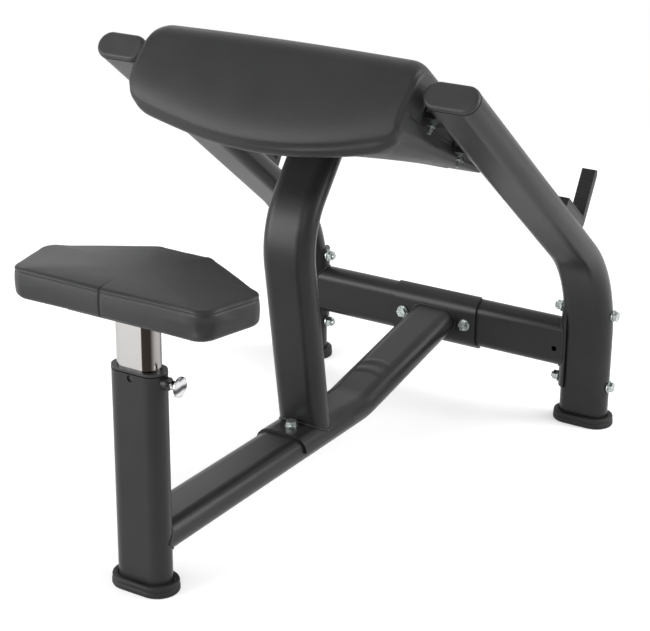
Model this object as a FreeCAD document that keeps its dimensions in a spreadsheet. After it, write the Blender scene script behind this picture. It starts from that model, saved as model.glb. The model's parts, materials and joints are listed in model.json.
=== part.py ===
import FreeCAD, Part
import math
import os
import re
import Sketcher

# Preacher curl bench: a flat-oval tube frame carries a sloped arm pad, two bar
# hooks and a height-adjustable seat. X runs across the bench, Y runs from the
# seat towards the crossbeam, Z is up, and the origin lies on the floor under the
# middle of the whole bench. Lengths are in millimetres, angles in degrees.
sizes = {
    # flat-oval tube of the frame
    "tube_wide": 100.0,
    "tube_deep": 50.0,
    "tube_wall": 3.0,
    "weld_gap": 0.05,
    "saddle_wall": 5.0,
    "saddle_gap": 0.1,
    # bent uprights, left and right
    "upright_spread": 660.0,
    "upright_reach": 1001.5,
    "slope_angle": 38.3,
    "knee_height": 309.0,
    "knee_radius": 265.0,
    "slope_length": 769.0,
    "cap_dome": 9.0,
    "cap_round": 7.0,
    "cap_plug": 22.0,
    "cap_gap": 0.3,
    # rubber feet
    "foot_grow": 11.8,
    "foot_flange": 10.0,
    "foot_collar": 9.6,
    "foot_tall": 20.0,
    "foot_floor": 6.0,
    "foot_gap": 0.2,
    # crossbeam and its saddles
    "cross_height": 158.0,
    "end_saddle_tall": 174.0,
    "end_saddle_open": 10.0,
    "end_bolt_gap": 150.0,
    "cross_saddle_long": 190.0,
    "cross_bolt_gap": 144.0,
    "cross_hole": 11.0,
    "cross_hole_at": 270.0,
    "cross_hole_drop": 9.5,
    # base beam from the seat post to the crossbeam
    "beam_height": 90.0,
    "beam_bend_gap": 152.0,
    "beam_bend_radius": 130.0,
    # centre post under the arm pad
    "post_under_pad": 206.6,
    "post_lean": 9.1,
    "post_knee_drop": 210.4,
    "post_knee_radius": 160.0,
    "post_saddle_long": 166.0,
    "post_bolt_gap": 100.0,
    # seat post, bush and pull pin
    "seat_post_top": 387.0,
    "bush_lip": 5.0,
    "bush_long": 100.0,
    "bush_gap": 0.15,
    "bush_hole": 12.0,
    "bush_hole_drop": 13.0,
    "slide_gap": 0.1,
    "pin_drop": 18.0,
    "pin_thick": 9.0,
    "pin_stroke": 5.0,
    "pin_clear": 0.4,
    "pin_gap": 0.1,
    "barrel_wide": 22.0,
    "barrel_long": 8.0,
    "knob_neck": 15.0,
    "knob_wide": 34.0,
    "knob_long": 17.0,
    # sliding seat
    "inner_wide": 80.0,
    "inner_deep": 40.0,
    "inner_wall": 2.5,
    "inner_long": 300.0,
    "index_pitch": 30.0,
    "index_count": 5.0,
    "plug_long": 18.0,
    "plug_lip": 3.0,
    "seat_top": 543.0,
    "seat_thick": 49.5,
    "seat_crown": 6.0,
    "seat_crown_inset": 48.0,
    "seat_rear": 80.0,
    "seat_rear_wide": 374.0,
    "seat_wide": 426.0,
    "seat_side_reach": 34.0,
    "seat_nose_reach": 132.0,
    "seat_nose_wide": 104.0,
    "seat_corner": 28.0,
    "seat_tuck": 3.0,
    "seat_board_thick": 12.0,
    "seat_board_inset": 12.0,
    "seat_plate_thick": 6.0,
    "seat_plate_wide": 180.0,
    "seat_plate_deep": 120.0,
    "seat_screw_wide": 140.0,
    "seat_screw_deep": 84.0,
    # arm pad, measured along and out of the slope of the uprights
    "pad_wide": 524.0,
    "pad_long": 348.0,
    "pad_out": 64.5,
    "pad_crown": 4.0,
    "pad_nose_side": 109.0,
    "pad_nose_middle": 151.5,
    "pad_taper_long": 330.0,
    "pad_far_drop": 6.0,
    "pad_far_round": 12.0,
    "pad_nose_round": 18.0,
    "pad_nose_inset": 22.0,
    "pad_nose_drop": 9.0,
    "pad_shoulder": 12.0,
    "pad_waist_share": 0.86,
    "pad_low_bulge": 12.0,
    "pad_bulge": 9.0,
    "pad_bulge_end": 48.0,
    "pad_corner": 20.0,
    "pad_low_corner": 43.0,
    "pad_tuck": 5.0,
    "pad_board_wide": 408.0,
    "pad_board_from": 120.0,
    "pad_board_thick": 15.0,
    "pad_board_long": 188.0,
    "pad_board_gap": 0.5,
    "pad_board_sink": 1.5,
    "pad_plate_wide": 170.0,
    "pad_plate_long": 130.0,
    "pad_plate_thick": 6.0,
    "pad_screw_wide": 136.0,
    "pad_screw_long": 94.0,
    # side brackets of the arm pad
    "bracket_wall": 4.0,
    "bracket_tall": 36.0,
    "bracket_long": 44.0,
    "tab_long": 36.0,
    "tab_drop": 12.0,
    "lug_thick": 6.0,
    "bracket_bolt_first": 78.0,
    "bracket_bolt_gap": 132.0,
    "bracket_gap": 1.0,
    # bar hooks on the slope
    "hook_offset": 11.0,
    "hook_wide": 27.0,
    "hook_up": 273.0,
    "hook_long": 101.0,
    "hook_base": 18.0,
    "hook_prong_tall": 98.0,
    "hook_prong_thick": 8.0,
    "hook_lean": 9.0,
    "hook_bolt_at": 20.0,
    "hook_bolt_gap": 46.0,
    "hook_recess": 8.0,
    "liner_thick": 6.0,
    # frame fasteners
    "frame_bolt": 12.0,
    "frame_flats": 18.0,
    "frame_head": 7.5,
    "frame_nut": 10.0,
    "frame_washer": 24.0,
    "frame_washer_thick": 2.5,
    # small fasteners of the pads and hooks
    "small_bolt": 8.0,
    "small_flats": 13.0,
    "small_head": 5.3,
    "small_nut": 6.5,
    "small_washer": 14.0,
    "small_washer_thick": 1.6,
    "bolt_gap": 0.25,
    "thread_gap": 0.05,
    "bolt_tail": 4.0,
    "pad_bolt_tail": 12.0,
    "screw_long": 14.0,
}

doc = FreeCAD.newDocument("preacher_curl_bench")
sheet = doc.addObject("Spreadsheet::Sheet", "Sizes")
for row, (alias, number) in enumerate(sizes.items(), start=1):
    sheet.set(f"A{row}", alias)
    sheet.set(f"B{row}", str(number))
    sheet.setAlias(f"B{row}", alias)
doc.recompute()

vec = FreeCAD.Vector
across = vec(1, 0, 0)
along = vec(0, 1, 0)
upward = vec(0, 0, 1)
nodes = {}


def size(alias):
    return float(sheet.get(alias))


def linked(expression):
    # the same expression with every size name pointing at its cell
    def cell(match):
        word = match.group(0)
        return f"Sizes.{word}" if word in sizes else word
    return re.sub(r"[a-z][a-z_]*", cell, expression)


def bind(item, name, expression):
    item.setExpression(name, linked(expression))


def keep(label, item):
    item.Label = label
    nodes[label] = item
    return item


# Places that several pieces share, worked out from the sizes.
slope = math.radians(size("slope_angle"))
half_spread = size("upright_spread") / 2
half_deep = size("tube_deep") / 2
half_wide = size("tube_wide") / 2
round_centre = half_wide - half_deep
foremost = size("upright_reach") + half_deep + size("foot_grow")
origin_y = (foremost - size("seat_rear")) / 2
pad_near = size("slope_length") + size("cap_dome")
post_foot = size("beam_height") + half_deep + size("saddle_gap") + size("saddle_wall")
post_up = pad_near - size("post_under_pad")
post_knee_y = size("upright_reach") - post_up * math.cos(slope) - size("post_knee_drop") * math.sin(slope)
post_knee_z = size("knee_height") + post_up * math.sin(slope) - size("post_knee_drop") * math.cos(slope)
post_reach = post_knee_y + (post_knee_z - size("beam_height")) * math.tan(math.radians(size("post_lean")))
bend_reach = post_reach + size("beam_bend_gap")
seat_pad_floor = size("seat_top") - size("seat_thick")
seat_plate_floor = seat_pad_floor - size("seat_plate_thick")
pad_floor = size("pad_far_drop") + size("pad_board_sink") - size("pad_board_thick")
bush_top = size("seat_post_top") + size("bush_lip")
pin_height = bush_top - size("pin_drop")


def at(x, y, z, axis=upward, turn=0.0):
    # a placement counted from the seat post, moved to the bench's origin
    return FreeCAD.Placement(vec(x, y - origin_y, z), FreeCAD.Rotation(axis, turn))


def on_slope(x, up, out):
    # local Y runs down the slope and local Z stands out of it; up is counted from the knee
    y = size("upright_reach") - up * math.cos(slope) + out * math.sin(slope)
    z = size("knee_height") + up * math.sin(slope) + out * math.cos(slope)
    return at(x, y, z, across, -size("slope_angle"))


def turned(place, axis, angle):
    return place.multiply(FreeCAD.Placement(vec(0, 0, 0), FreeCAD.Rotation(axis, angle)))


def shifted(place, x, y, z):
    return place.multiply(FreeCAD.Placement(vec(x, y, z), FreeCAD.Rotation()))


def new_body(label, place):
    body = doc.addObject("PartDesign::Body", label)
    body.Label = label
    body.Placement = place
    return body


def new_sketch(body, role, offset=None):
    plane = next(item for item in body.Origin.OriginFeatures if item.Role == role)
    sketch = body.newObject("Sketcher::SketchObject", f"{body.Name}_sketch")
    sketch.AttachmentSupport = [(plane, "")]
    sketch.MapMode = "FlatFace"
    if offset:
        bind(sketch, "AttachmentOffset.Base.z", offset)
    return sketch


def bound_constraint(sketch, constraint, expression):
    index = sketch.addConstraint(constraint)
    bind(sketch, f"Constraints[{index}]", expression)


def flat_oval(sketch, wide, deep, grow="", upright=False):
    # two straight runs joined by half circles; grow is a size added all round
    extra = 2 * sum(float(sign + "1") * size(name) for sign, name in re.findall(r"([+-]) *(\w+)", grow))
    radius = (size(deep) + extra) / 2
    reach = (size(wide) - size(deep)) / 2
    quarter = math.pi / 2
    spin = quarter if upright else 0.0
    spread = FreeCAD.Rotation(upward, math.degrees(spin))
    corners = [spread.multVec(vec(x * reach, y * radius, 0)) for x, y in ((1, 1), (-1, 1), (-1, -1), (1, -1))]
    left = Part.Circle(spread.multVec(vec(-reach, 0, 0)), upward, radius)
    right = Part.Circle(spread.multVec(vec(reach, 0, 0)), upward, radius)
    first = sketch.GeometryCount
    sketch.addGeometry([
        Part.LineSegment(corners[0], corners[1]),
        Part.ArcOfCircle(left, quarter + spin, 3 * quarter + spin),
        Part.LineSegment(corners[2], corners[3]),
        Part.ArcOfCircle(right, -quarter + spin, quarter + spin),
    ], False)
    limit = Sketcher.Constraint
    for step in range(4):
        sketch.addConstraint(limit("Tangent", first + step, 2, first + (step + 1) % 4, 1))
    sketch.addConstraint(limit("Vertical" if upright else "Horizontal", first))
    sketch.addConstraint(limit("Symmetric", first + 1, 3, first + 3, 3, -1, 1))
    bound_constraint(sketch, limit("Radius", first + 1, radius), f"{deep} / 2 {grow}")
    between = limit("DistanceY" if upright else "DistanceX", first + 1, 3, first + 3, 3, 2 * reach)
    bound_constraint(sketch, between, f"{wide} - {deep}")
    return sketch


def closed_lines(sketch, points):
    ends = [vec(x, y, 0) for x, y in points]
    first = sketch.GeometryCount
    sketch.addGeometry([Part.LineSegment(a, b) for a, b in zip(ends, ends[1:] + ends[:1])], False)
    for step in range(len(ends)):
        follower = first + (step + 1) % len(ends)
        sketch.addConstraint(Sketcher.Constraint("Coincident", first + step, 2, follower, 1))
    return sketch


def padded(body, sketch, length, both_ways=False, backwards=False):
    pad = body.newObject("PartDesign::Pad", f"{body.Name}_pad")
    pad.Profile = sketch
    pad.Midplane = both_ways
    pad.Reversed = backwards
    bind(pad, "Length", length)
    doc.recompute()
    return pad


def swept(body, role, grow, kind, path):
    profile = flat_oval(new_sketch(body, role), "tube_wide", "tube_deep", grow)
    doc.recompute()
    pipe = body.newObject(f"PartDesign::{kind}", f"{body.Name}_{kind}")
    pipe.Profile = profile
    pipe.Spine = (path, ["Edge1", "Edge2", "Edge3"])
    doc.recompute()


def swept_tube(body, role, path):
    swept(body, role, "", "AdditivePipe", path)
    swept(body, role, "- tube_wall", "SubtractivePipe", path)


def bent_path(body, start, corner, end, radius):
    # two straight runs joined by a tangent arc, in the body's YZ plane
    first = (corner - start).normalize()
    second = (end - corner).normalize()
    turn = first.getAngle(second)
    reach = radius * math.tan(turn / 2)
    begin = corner - first * reach
    finish = corner + second * reach
    inward = (second - first).normalize()
    middle = corner + inward * (radius / math.cos(turn / 2) - radius)
    path = new_sketch(body, "YZ_Plane")
    path.addGeometry([
        Part.LineSegment(start, begin),
        Part.Arc(begin, middle, finish),
        Part.LineSegment(finish, end),
    ], False)
    return path


def drill(name, place, diameter, depth):
    tool = doc.addObject("Part::Cylinder", f"{name}_drill")
    bind(tool, "Radius", diameter)
    tool.Height = depth
    tool.Placement = place
    return tool


def cut_from(label, base, tools):
    # base without the tools, as the node of that label
    tool = tools[0]
    if len(tools) > 1:
        tool = doc.addObject("Part::MultiFuse", f"{label}_tools")
        tool.Shapes = tools
    base.Label = f"{label}_blank"
    cut = doc.addObject("Part::Cut", label)
    cut.Base = base
    cut.Tool = tool
    return keep(label, cut)


def hexagon(name, kind, height, place):
    prism = doc.addObject("Part::Prism", name)
    prism.Polygon = 6
    bind(prism, "Circumradius", f"{kind}_flats / sqrt(3)")
    bind(prism, "Height", height)
    prism.Placement = place
    return prism


def hex_bolt(name, kind, place, length):
    # the head's underside is at the place, and the shank runs along local Z
    head = hexagon(f"{name}_head", kind, f"{kind}_head", FreeCAD.Placement())
    bind(head, "Placement.Base.z", f"-{kind}_head")
    shank = doc.addObject("Part::Cylinder", f"{name}_shank")
    bind(shank, "Radius", f"{kind}_bolt / 2")
    shank.Height = length
    bolt = doc.addObject("Part::Fuse", name)
    bolt.Base = head
    bolt.Tool = shank
    bolt.Placement = place
    return bolt


def ring(name, kind, outer, height, place):
    hole = doc.addObject("Part::Cylinder", f"{name}_bore")
    bind(hole, "Radius", f"{kind}_bolt / 2 + thread_gap")
    bind(hole, "Height", height)
    washer = doc.addObject("Part::Cut", name)
    washer.Base = outer
    washer.Tool = hole
    washer.Placement = place
    return washer


def flat_washer(name, kind, place):
    disc = doc.addObject("Part::Cylinder", f"{name}_disc")
    bind(disc, "Radius", f"{kind}_washer / 2")
    bind(disc, "Height", f"{kind}_washer_thick")
    return ring(name, kind, disc, f"{kind}_washer_thick", place)


def hex_nut(name, kind, place):
    outer = hexagon(f"{name}_outside", kind, f"{kind}_nut", FreeCAD.Placement())
    return ring(name, kind, outer, f"{kind}_nut", place)


def grouped(label, members):
    group = doc.addObject("Part::Compound", label)
    group.Links = members
    return keep(label, group)


def bolted(label, kind, places, grip, tail):
    # bolts through a clamped stack: each place is on the stack, with local Z going in
    sheet_thick = size(f"{kind}_washer_thick")
    bolts, washers, nuts = [], [], []
    for step, place in enumerate(places, start=1):
        name = f"{label}_{step}"
        length = grip + 2 * sheet_thick + size(f"{kind}_nut") + tail
        bolts.append(hex_bolt(f"{name}_bolt", kind, shifted(place, 0, 0, -sheet_thick), length))
        washers.append(flat_washer(f"{name}_head_washer", kind, shifted(place, 0, 0, -sheet_thick)))
        washers.append(flat_washer(f"{name}_nut_washer", kind, shifted(place, 0, 0, grip)))
        nuts.append(hex_nut(f"{name}_nut", kind, shifted(place, 0, 0, grip + sheet_thick)))
    grouped(f"{label}_bolts", bolts)
    grouped(f"{label}_washers", washers)
    grouped(f"{label}_nuts", nuts)


def saddle(label, place, length, role):
    # a plate bent round one flat side of the tube, down to the middle of its rounded sides
    body = new_body(label, place)
    sketch = new_sketch(body, role)
    inner = half_deep + size("saddle_gap")
    outer = inner + size("saddle_wall")
    lean = math.sqrt(0.5)
    pieces = []
    for radius in (outer, inner):
        ends = [vec(side * (round_centre + radius), 0, 0) for side in (-1, 1)]
        tops = [vec(side * round_centre, radius, 0) for side in (-1, 1)]
        bends = [vec(side * (round_centre + radius * lean), radius * lean, 0) for side in (-1, 1)]
        pieces.append(Part.Arc(ends[0], bends[0], tops[0]))
        pieces.append(Part.LineSegment(tops[0], tops[1]))
        pieces.append(Part.Arc(tops[1], bends[1], ends[1]))
    for side in (-1, 1):
        tip = side * (round_centre + outer)
        pieces.append(Part.LineSegment(vec(tip, 0, 0), vec(side * (round_centre + inner), 0, 0)))
    sketch.addGeometry(pieces, False)
    padded(body, sketch, length, both_ways=True)
    return body


def oval_bar(name, place, role, grow, length):
    # a plain flat-oval bar, used to shape what is welded or fitted to a tube
    body = new_body(name, place)
    padded(body, flat_oval(new_sketch(body, role), "tube_wide", "tube_deep", grow), length, both_ways=True)
    return body


def foot(label, x, y):
    body = new_body(label, at(x, y, 0))
    base = flat_oval(new_sketch(body, "XY_Plane"), "tube_wide", "tube_deep", "+ foot_grow")
    padded(body, base, "foot_floor")
    for bottom, outside, tall in (
        ("foot_floor", "+ foot_grow", "foot_flange - foot_floor"),
        ("foot_flange", "+ foot_collar", "foot_tall - foot_flange"),
    ):
        wall = new_sketch(body, "XY_Plane", bottom)
        flat_oval(wall, "tube_wide", "tube_deep", outside)
        flat_oval(wall, "tube_wide", "tube_deep", "+ foot_gap")
        padded(body, wall, tall)
    keep(label, body)


def seat_post():
    body = new_body("seat_post", at(0, 0, size("foot_floor")))
    wall = new_sketch(body, "XY_Plane")
    flat_oval(wall, "tube_wide", "tube_deep")
    flat_oval(wall, "tube_wide", "tube_deep", "- tube_wall")
    padded(body, wall, "seat_post_top - foot_floor")
    pin_hole = drill("seat_post_pin", at(0, 0, pin_height, along, 90), "barrel_wide / 2 + weld_gap", half_wide + 1)
    stud_height = bush_top - size("bush_hole_drop")
    stud_hole = drill("seat_post_stud", at(0, 0, stud_height, across, 90), "bush_hole / 2", half_wide)
    cut_from("seat_post", body, [pin_hole, stud_hole])
    foot("seat_post_foot", 0, 0)


def seat_post_bush():
    # plastic sleeve in the post's mouth, with a lip over the rim
    top = at(0, 0, size("seat_post_top"))
    body = new_body("seat_post_bush", top)
    sleeve = new_sketch(body, "XY_Plane")
    flat_oval(sleeve, "tube_wide", "tube_deep", "- tube_wall - bush_gap")
    flat_oval(sleeve, "inner_wide", "inner_deep", "+ slide_gap")
    padded(body, sleeve, "bush_long", backwards=True)
    lip = new_sketch(body, "XY_Plane")
    flat_oval(lip, "tube_wide", "tube_deep")
    flat_oval(lip, "inner_wide", "inner_deep", "+ slide_gap")
    padded(body, lip, "bush_lip")
    depth = half_wide - size("tube_wall") + 1
    pin_hole = drill("bush_pin", at(0, 0, pin_height, along, 90), "pin_thick / 2 + pin_gap", depth)
    cut_from("seat_post_bush", body, [pin_hole])


def pull_pin():
    # barrel welded in the post's rounded side, with a sliding plunger and a flared knob along +X
    wall = half_wide - size("tube_wall")
    mouth = half_wide + size("barrel_long")
    barrel = new_body("pin_barrel", at(wall, 0, pin_height, along, 90))
    outline = new_sketch(barrel, "XY_Plane")
    outline.addGeometry(Part.Circle(vec(0, 0, 0), upward, size("barrel_wide") / 2), False)
    outline.addGeometry(Part.Circle(vec(0, 0, 0), upward, size("pin_thick") / 2 + size("pin_gap")), False)
    bound_constraint(outline, Sketcher.Constraint("Diameter", 0, size("barrel_wide")), "barrel_wide")
    bore = Sketcher.Constraint("Diameter", 1, size("pin_thick") + 2 * size("pin_gap"))
    bound_constraint(outline, bore, "pin_thick + 2 * pin_gap")
    padded(barrel, outline, "tube_wall + barrel_long")
    keep("pin_barrel", barrel)

    tip = size("inner_wide") / 2 + size("pin_clear")
    start = mouth + size("pin_stroke") + 1
    plunger = doc.addObject("Part::Cylinder", "pin_plunger")
    bind(plunger, "Radius", "pin_thick / 2")
    plunger.Height = start - tip
    plunger.Placement = at(tip, 0, pin_height, along, 90)
    keep("pin_plunger", plunger)

    knob = new_body("pin_knob", at(start, 0, pin_height, along, 90))
    far = size("knob_long")
    neck = size("knob_neck") / 2
    wide = size("knob_wide") / 2
    profile = new_sketch(knob, "XZ_Plane")
    closed_lines(profile, [
        (0, 0), (neck - 1, 0), (neck, 1), (neck - 1, far * 0.3), (neck + 2, far * 0.55),
        (wide - 3, far - 4), (wide, far - 3), (wide, far - 1), (wide - 1.5, far), (0, far),
    ])
    turn_about_height(knob, profile)
    keep("pin_knob", knob)


def turn_about_height(body, sketch):
    revolve = body.newObject("PartDesign::Revolution", f"{body.Name}_turned")
    revolve.Profile = sketch
    revolve.ReferenceAxis = (sketch, ["V_Axis"])
    revolve.Angle = 360
    doc.recompute()
    return revolve


def base_beam():
    # level from the seat post, then bent up to the crossbeam's saddle
    face = size("upright_reach") - half_deep - size("saddle_gap") - size("saddle_wall")
    body = new_body("base_beam", at(0, 0, size("beam_height")))
    rise = size("cross_height") - size("beam_height")
    corner = vec(bend_reach, 0, 0)
    slant = vec(face - bend_reach, rise, 0)
    over = slant * (1 + size("tube_deep") / slant.Length)
    path = bent_path(body, vec(0, 0, 0), corner, corner + over, size("beam_bend_radius"))
    swept_tube(body, "XZ_Plane", path)
    post = oval_bar("base_beam_post", at(0, 0, size("beam_height")), "XY_Plane", "+ weld_gap", "4 * tube_deep")
    stop = doc.addObject("Part::Box", "base_beam_stop")
    bind(stop, "Length", "2 * tube_wide")
    bind(stop, "Width", "2 * tube_wide")
    bind(stop, "Height", "4 * tube_wide")
    stop.Placement = at(-size("tube_wide"), face - size("weld_gap"), 0)
    under = size("beam_height") + half_deep + 1
    holes = []
    for step in (-0.5, 0.5):
        reach = post_reach + step * size("post_bolt_gap")
        place = at(0, reach, under - size("tube_deep") - 2)
        holes.append(drill(f"base_beam_{step}", place, "frame_bolt / 2 + bolt_gap", size("tube_deep") + 2))
    cut_from("base_beam", body, [post, stop] + holes)


def crossbeam():
    middle = at(0, size("upright_reach"), size("cross_height"))
    body = new_body("cross_beam", middle)
    wall = new_sketch(body, "YZ_Plane")
    flat_oval(wall, "tube_wide", "tube_deep", upright=True)
    flat_oval(wall, "tube_wide", "tube_deep", "- tube_wall", upright=True)
    padded(body, wall, "upright_spread - tube_wide + tube_deep", both_ways=True)
    tools = []
    for name, side in (("left", -1), ("right", 1)):
        place = shifted(middle, side * (half_spread - round_centre), 0, -size("tube_wide"))
        outside = "tube_deep / 2 + saddle_gap + saddle_wall + weld_gap"
        tools.append(drill(f"cross_beam_{name}_end", place, outside, 2 * size("tube_wide")))
    gap = size("cross_bolt_gap") / 2
    for name, x in (("left", -gap), ("right", gap)):
        place = turned(shifted(middle, x, -half_deep - 1, 0), across, -90)
        tools.append(drill(f"cross_beam_{name}_bolt", place, "frame_bolt / 2 + bolt_gap", size("tube_deep") + 2))
    place = shifted(middle, size("cross_hole_at"), -half_deep - 1, -size("cross_hole_drop"))
    tools.append(drill("cross_beam_vent", turned(place, across, -90), "cross_hole / 2", size("tube_wall") + 2))
    cut_from("cross_beam", body, tools)

    blank = saddle("cross_beam_saddle", turned(middle, across, 90), "cross_saddle_long", "YZ_Plane")
    front = -half_deep - size("saddle_gap") - size("saddle_wall")
    holes = []
    places = []
    for name, x in (("left", -gap), ("right", gap)):
        place = turned(shifted(middle, x, front, 0), across, -90)
        places.append(place)
        hole = shifted(place, 0, 0, -1)
        holes.append(drill(f"saddle_{name}", hole, "frame_bolt / 2 + bolt_gap", 4 * size("saddle_wall")))
    cut_from("cross_beam_saddle", blank, holes)
    grip = size("tube_deep") + size("saddle_gap") + size("saddle_wall")
    bolted("beam_saddle", "frame", places, grip, size("bolt_tail"))


def end_saddle(label, side):
    # plate hugging the inner rounded side of an upright, welded to the crossbeam's end
    place = at(side * (half_spread - round_centre), size("upright_reach"), size("cross_height"))
    body = new_body(label, turned(place, upward, 0 if side > 0 else 180))
    outer = half_deep + size("saddle_gap") + size("saddle_wall")
    open_at = -size("end_saddle_open")
    lip = math.sqrt(outer ** 2 - open_at ** 2)
    sketch = new_sketch(body, "XY_Plane")
    sketch.addGeometry([
        Part.Arc(vec(open_at, lip, 0), vec(-outer, 0, 0), vec(open_at, -lip, 0)),
        Part.LineSegment(vec(open_at, -lip, 0), vec(open_at, lip, 0)),
    ], False)
    padded(body, sketch, "end_saddle_tall", both_ways=True)
    holes = []
    for name, step in (("low", -0.5), ("high", 0.5)):
        hole = shifted(body.Placement, 0, 0, step * size("end_bolt_gap"))
        hole = turned(hole, along, -90)
        holes.append(drill(f"{label}_{name}", hole, "frame_bolt / 2 + bolt_gap", 2 * outer))
    tube, path = upright_line(f"{label}_tube", side)
    swept(tube, "XY_Plane", "+ saddle_gap", "AdditivePipe", path)
    cut_from(label, body, holes + [tube])


def upright_bolt_places():
    places = []
    for side in (-1, 1):
        for step in (-0.5, 0.5):
            height = size("cross_height") + step * size("end_bolt_gap")
            outside = side * (half_spread + half_wide)
            places.append(at(outside, size("upright_reach"), height, along, -90 * side))
    return places


def hook_bolt_places(side, out):
    x = side * (half_spread + size("hook_offset"))
    first = size("hook_up") - size("hook_bolt_at")
    return [turned(on_slope(x, first - step * size("hook_bolt_gap"), out), across, 180) for step in (0, 1)]


def upright_line(label, side):
    body = new_body(label, at(side * half_spread, size("upright_reach"), size("foot_floor")))
    knee = vec(0, size("knee_height") - size("foot_floor"), 0)
    top = knee + vec(-math.cos(slope), math.sin(slope), 0) * size("slope_length")
    return body, bent_path(body, vec(0, 0, 0), knee, top, size("knee_radius"))


def upright(label, side):
    body, path = upright_line(label, side)
    swept_tube(body, "XY_Plane", path)
    holes = []
    for step, place in enumerate(upright_bolt_places()):
        if place.Base.x * side > 0:
            hole = shifted(place, 0, 0, -1)
            holes.append(drill(f"{label}_{step}", hole, "frame_bolt / 2 + bolt_gap", size("tube_wide") + 2))
    for step, place in enumerate(hook_bolt_places(side, half_deep + 1)):
        holes.append(drill(f"{label}_hook_{step}", place, "small_bolt / 2 + bolt_gap", size("tube_wall") + 2))
    cut_from(label, body, holes)
    name = label.replace("upright", "upright_foot")
    foot(name, side * half_spread, size("upright_reach"))

    cap_label = label.replace("upright", "upright_cap")
    cap = new_body(cap_label, on_slope(side * half_spread, size("slope_length"), 0))
    plug = flat_oval(new_sketch(cap, "XZ_Plane"), "tube_wide", "tube_deep", "- tube_wall - cap_gap")
    padded(cap, plug, "cap_plug", backwards=True)
    dome = flat_oval(new_sketch(cap, "XZ_Plane"), "tube_wide", "tube_deep")
    face = padded(cap, dome, "cap_dome")
    rim = [f"Edge{step}" for step, edge in enumerate(face.Shape.Edges, start=1)
           if edge.BoundBox.YMax < -size("cap_dome") + 0.001]
    rounding = cap.newObject("PartDesign::Fillet", f"{cap.Name}_round")
    rounding.Base = (face, rim)
    bind(rounding, "Radius", "cap_round")
    keep(cap_label, cap)


def centre_post():
    # leans back from the base beam, then bends square to the slope under the arm pad
    saddle_place = at(0, post_reach, size("beam_height"))
    blank = saddle("centre_post_saddle", saddle_place, "post_saddle_long", "XZ_Plane")
    places = []
    holes = []
    for step in (-0.5, 0.5):
        place = at(0, post_reach + step * size("post_bolt_gap"), post_foot, across, 180)
        places.append(place)
        hole = shifted(place, 0, 0, -1)
        holes.append(drill(f"post_saddle_{step}", hole, "frame_bolt / 2 + bolt_gap", 4 * size("saddle_wall")))
    cut_from("centre_post_saddle", blank, holes)
    grip = size("tube_deep") + size("saddle_gap") + size("saddle_wall")
    bolted("centre_post", "frame", places, grip, size("bolt_tail"))

    lean = math.radians(size("post_lean"))
    body = new_body("centre_post", at(0, post_reach, size("beam_height"), across, size("post_lean")))
    knee = vec(0, (post_knee_z - size("beam_height")) / math.cos(lean), 0)
    rise = size("post_knee_drop") + pad_floor - size("pad_plate_thick")
    turn = lean + slope
    top = knee + vec(math.sin(turn), math.cos(turn), 0) * (rise - size("weld_gap"))
    path = bent_path(body, vec(0, 0, 0), knee, top, size("post_knee_radius"))
    swept_tube(body, "XY_Plane", path)
    grow = "+ saddle_gap + saddle_wall + weld_gap"
    envelope = oval_bar("post_foot_shape", saddle_place, "XZ_Plane", grow, "4 * tube_deep")
    cut_from("centre_post", body, [envelope])


def box_node(label, wide, long, thick, place):
    # a plate centred on its place, with its lower face there
    plate = doc.addObject("Part::Box", label)
    bind(plate, "Length", wide)
    bind(plate, "Width", long)
    bind(plate, "Height", thick)
    plate.Placement = shifted(place, -size(wide) / 2, -size(long) / 2, 0)
    return plate


def pad_section(y, wide, shoulder, bulge, top, side_drop, middle_drop, corner, low_corner):
    # crowned top, rounded corners, a waist between the uprights and a bowed underside, square to the slope
    lean = 1 - math.sqrt(0.5)
    high = wide / 2 + shoulder
    half = wide / 2 + bulge
    edge = top - size("pad_crown")
    side_low = low_corner - side_drop
    waist = side_low + (edge - corner - side_low) * size("pad_waist_share")
    points = {
        "top": vec(0, y, top),
        "top_end": vec(high - corner, y, edge),
        "top_bend": vec(high - corner * lean, y, edge - corner * lean),
        "side_top": vec(high, y, edge - corner),
        "waist": vec(wide / 2, y, waist),
        "side_low": vec(half, y, side_low),
        "low_bend": vec(half - low_corner * lean, y, low_corner * lean - side_drop),
        "low_end": vec(half - low_corner, y, -side_drop),
        "low": vec(0, y, -middle_drop),
    }
    other = {name: vec(-point.x, point.y, point.z) for name, point in points.items()}
    edges = [
        Part.Arc(other["top_end"], points["top"], points["top_end"]).toShape(),
        Part.Arc(points["top_end"], points["top_bend"], points["side_top"]).toShape(),
        Part.makeLine(points["side_top"], points["waist"]),
        Part.makeLine(points["waist"], points["side_low"]),
        Part.Arc(points["side_low"], points["low_bend"], points["low_end"]).toShape(),
        Part.Arc(points["low_end"], points["low"], other["low_end"]).toShape(),
        Part.Arc(other["low_end"], other["low_bend"], other["side_low"]).toShape(),
        Part.makeLine(other["side_low"], other["waist"]),
        Part.makeLine(other["waist"], other["side_top"]),
        Part.Arc(other["side_top"], other["top_bend"], other["top_end"]).toShape(),
    ]
    return Part.Wire(edges)


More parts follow.
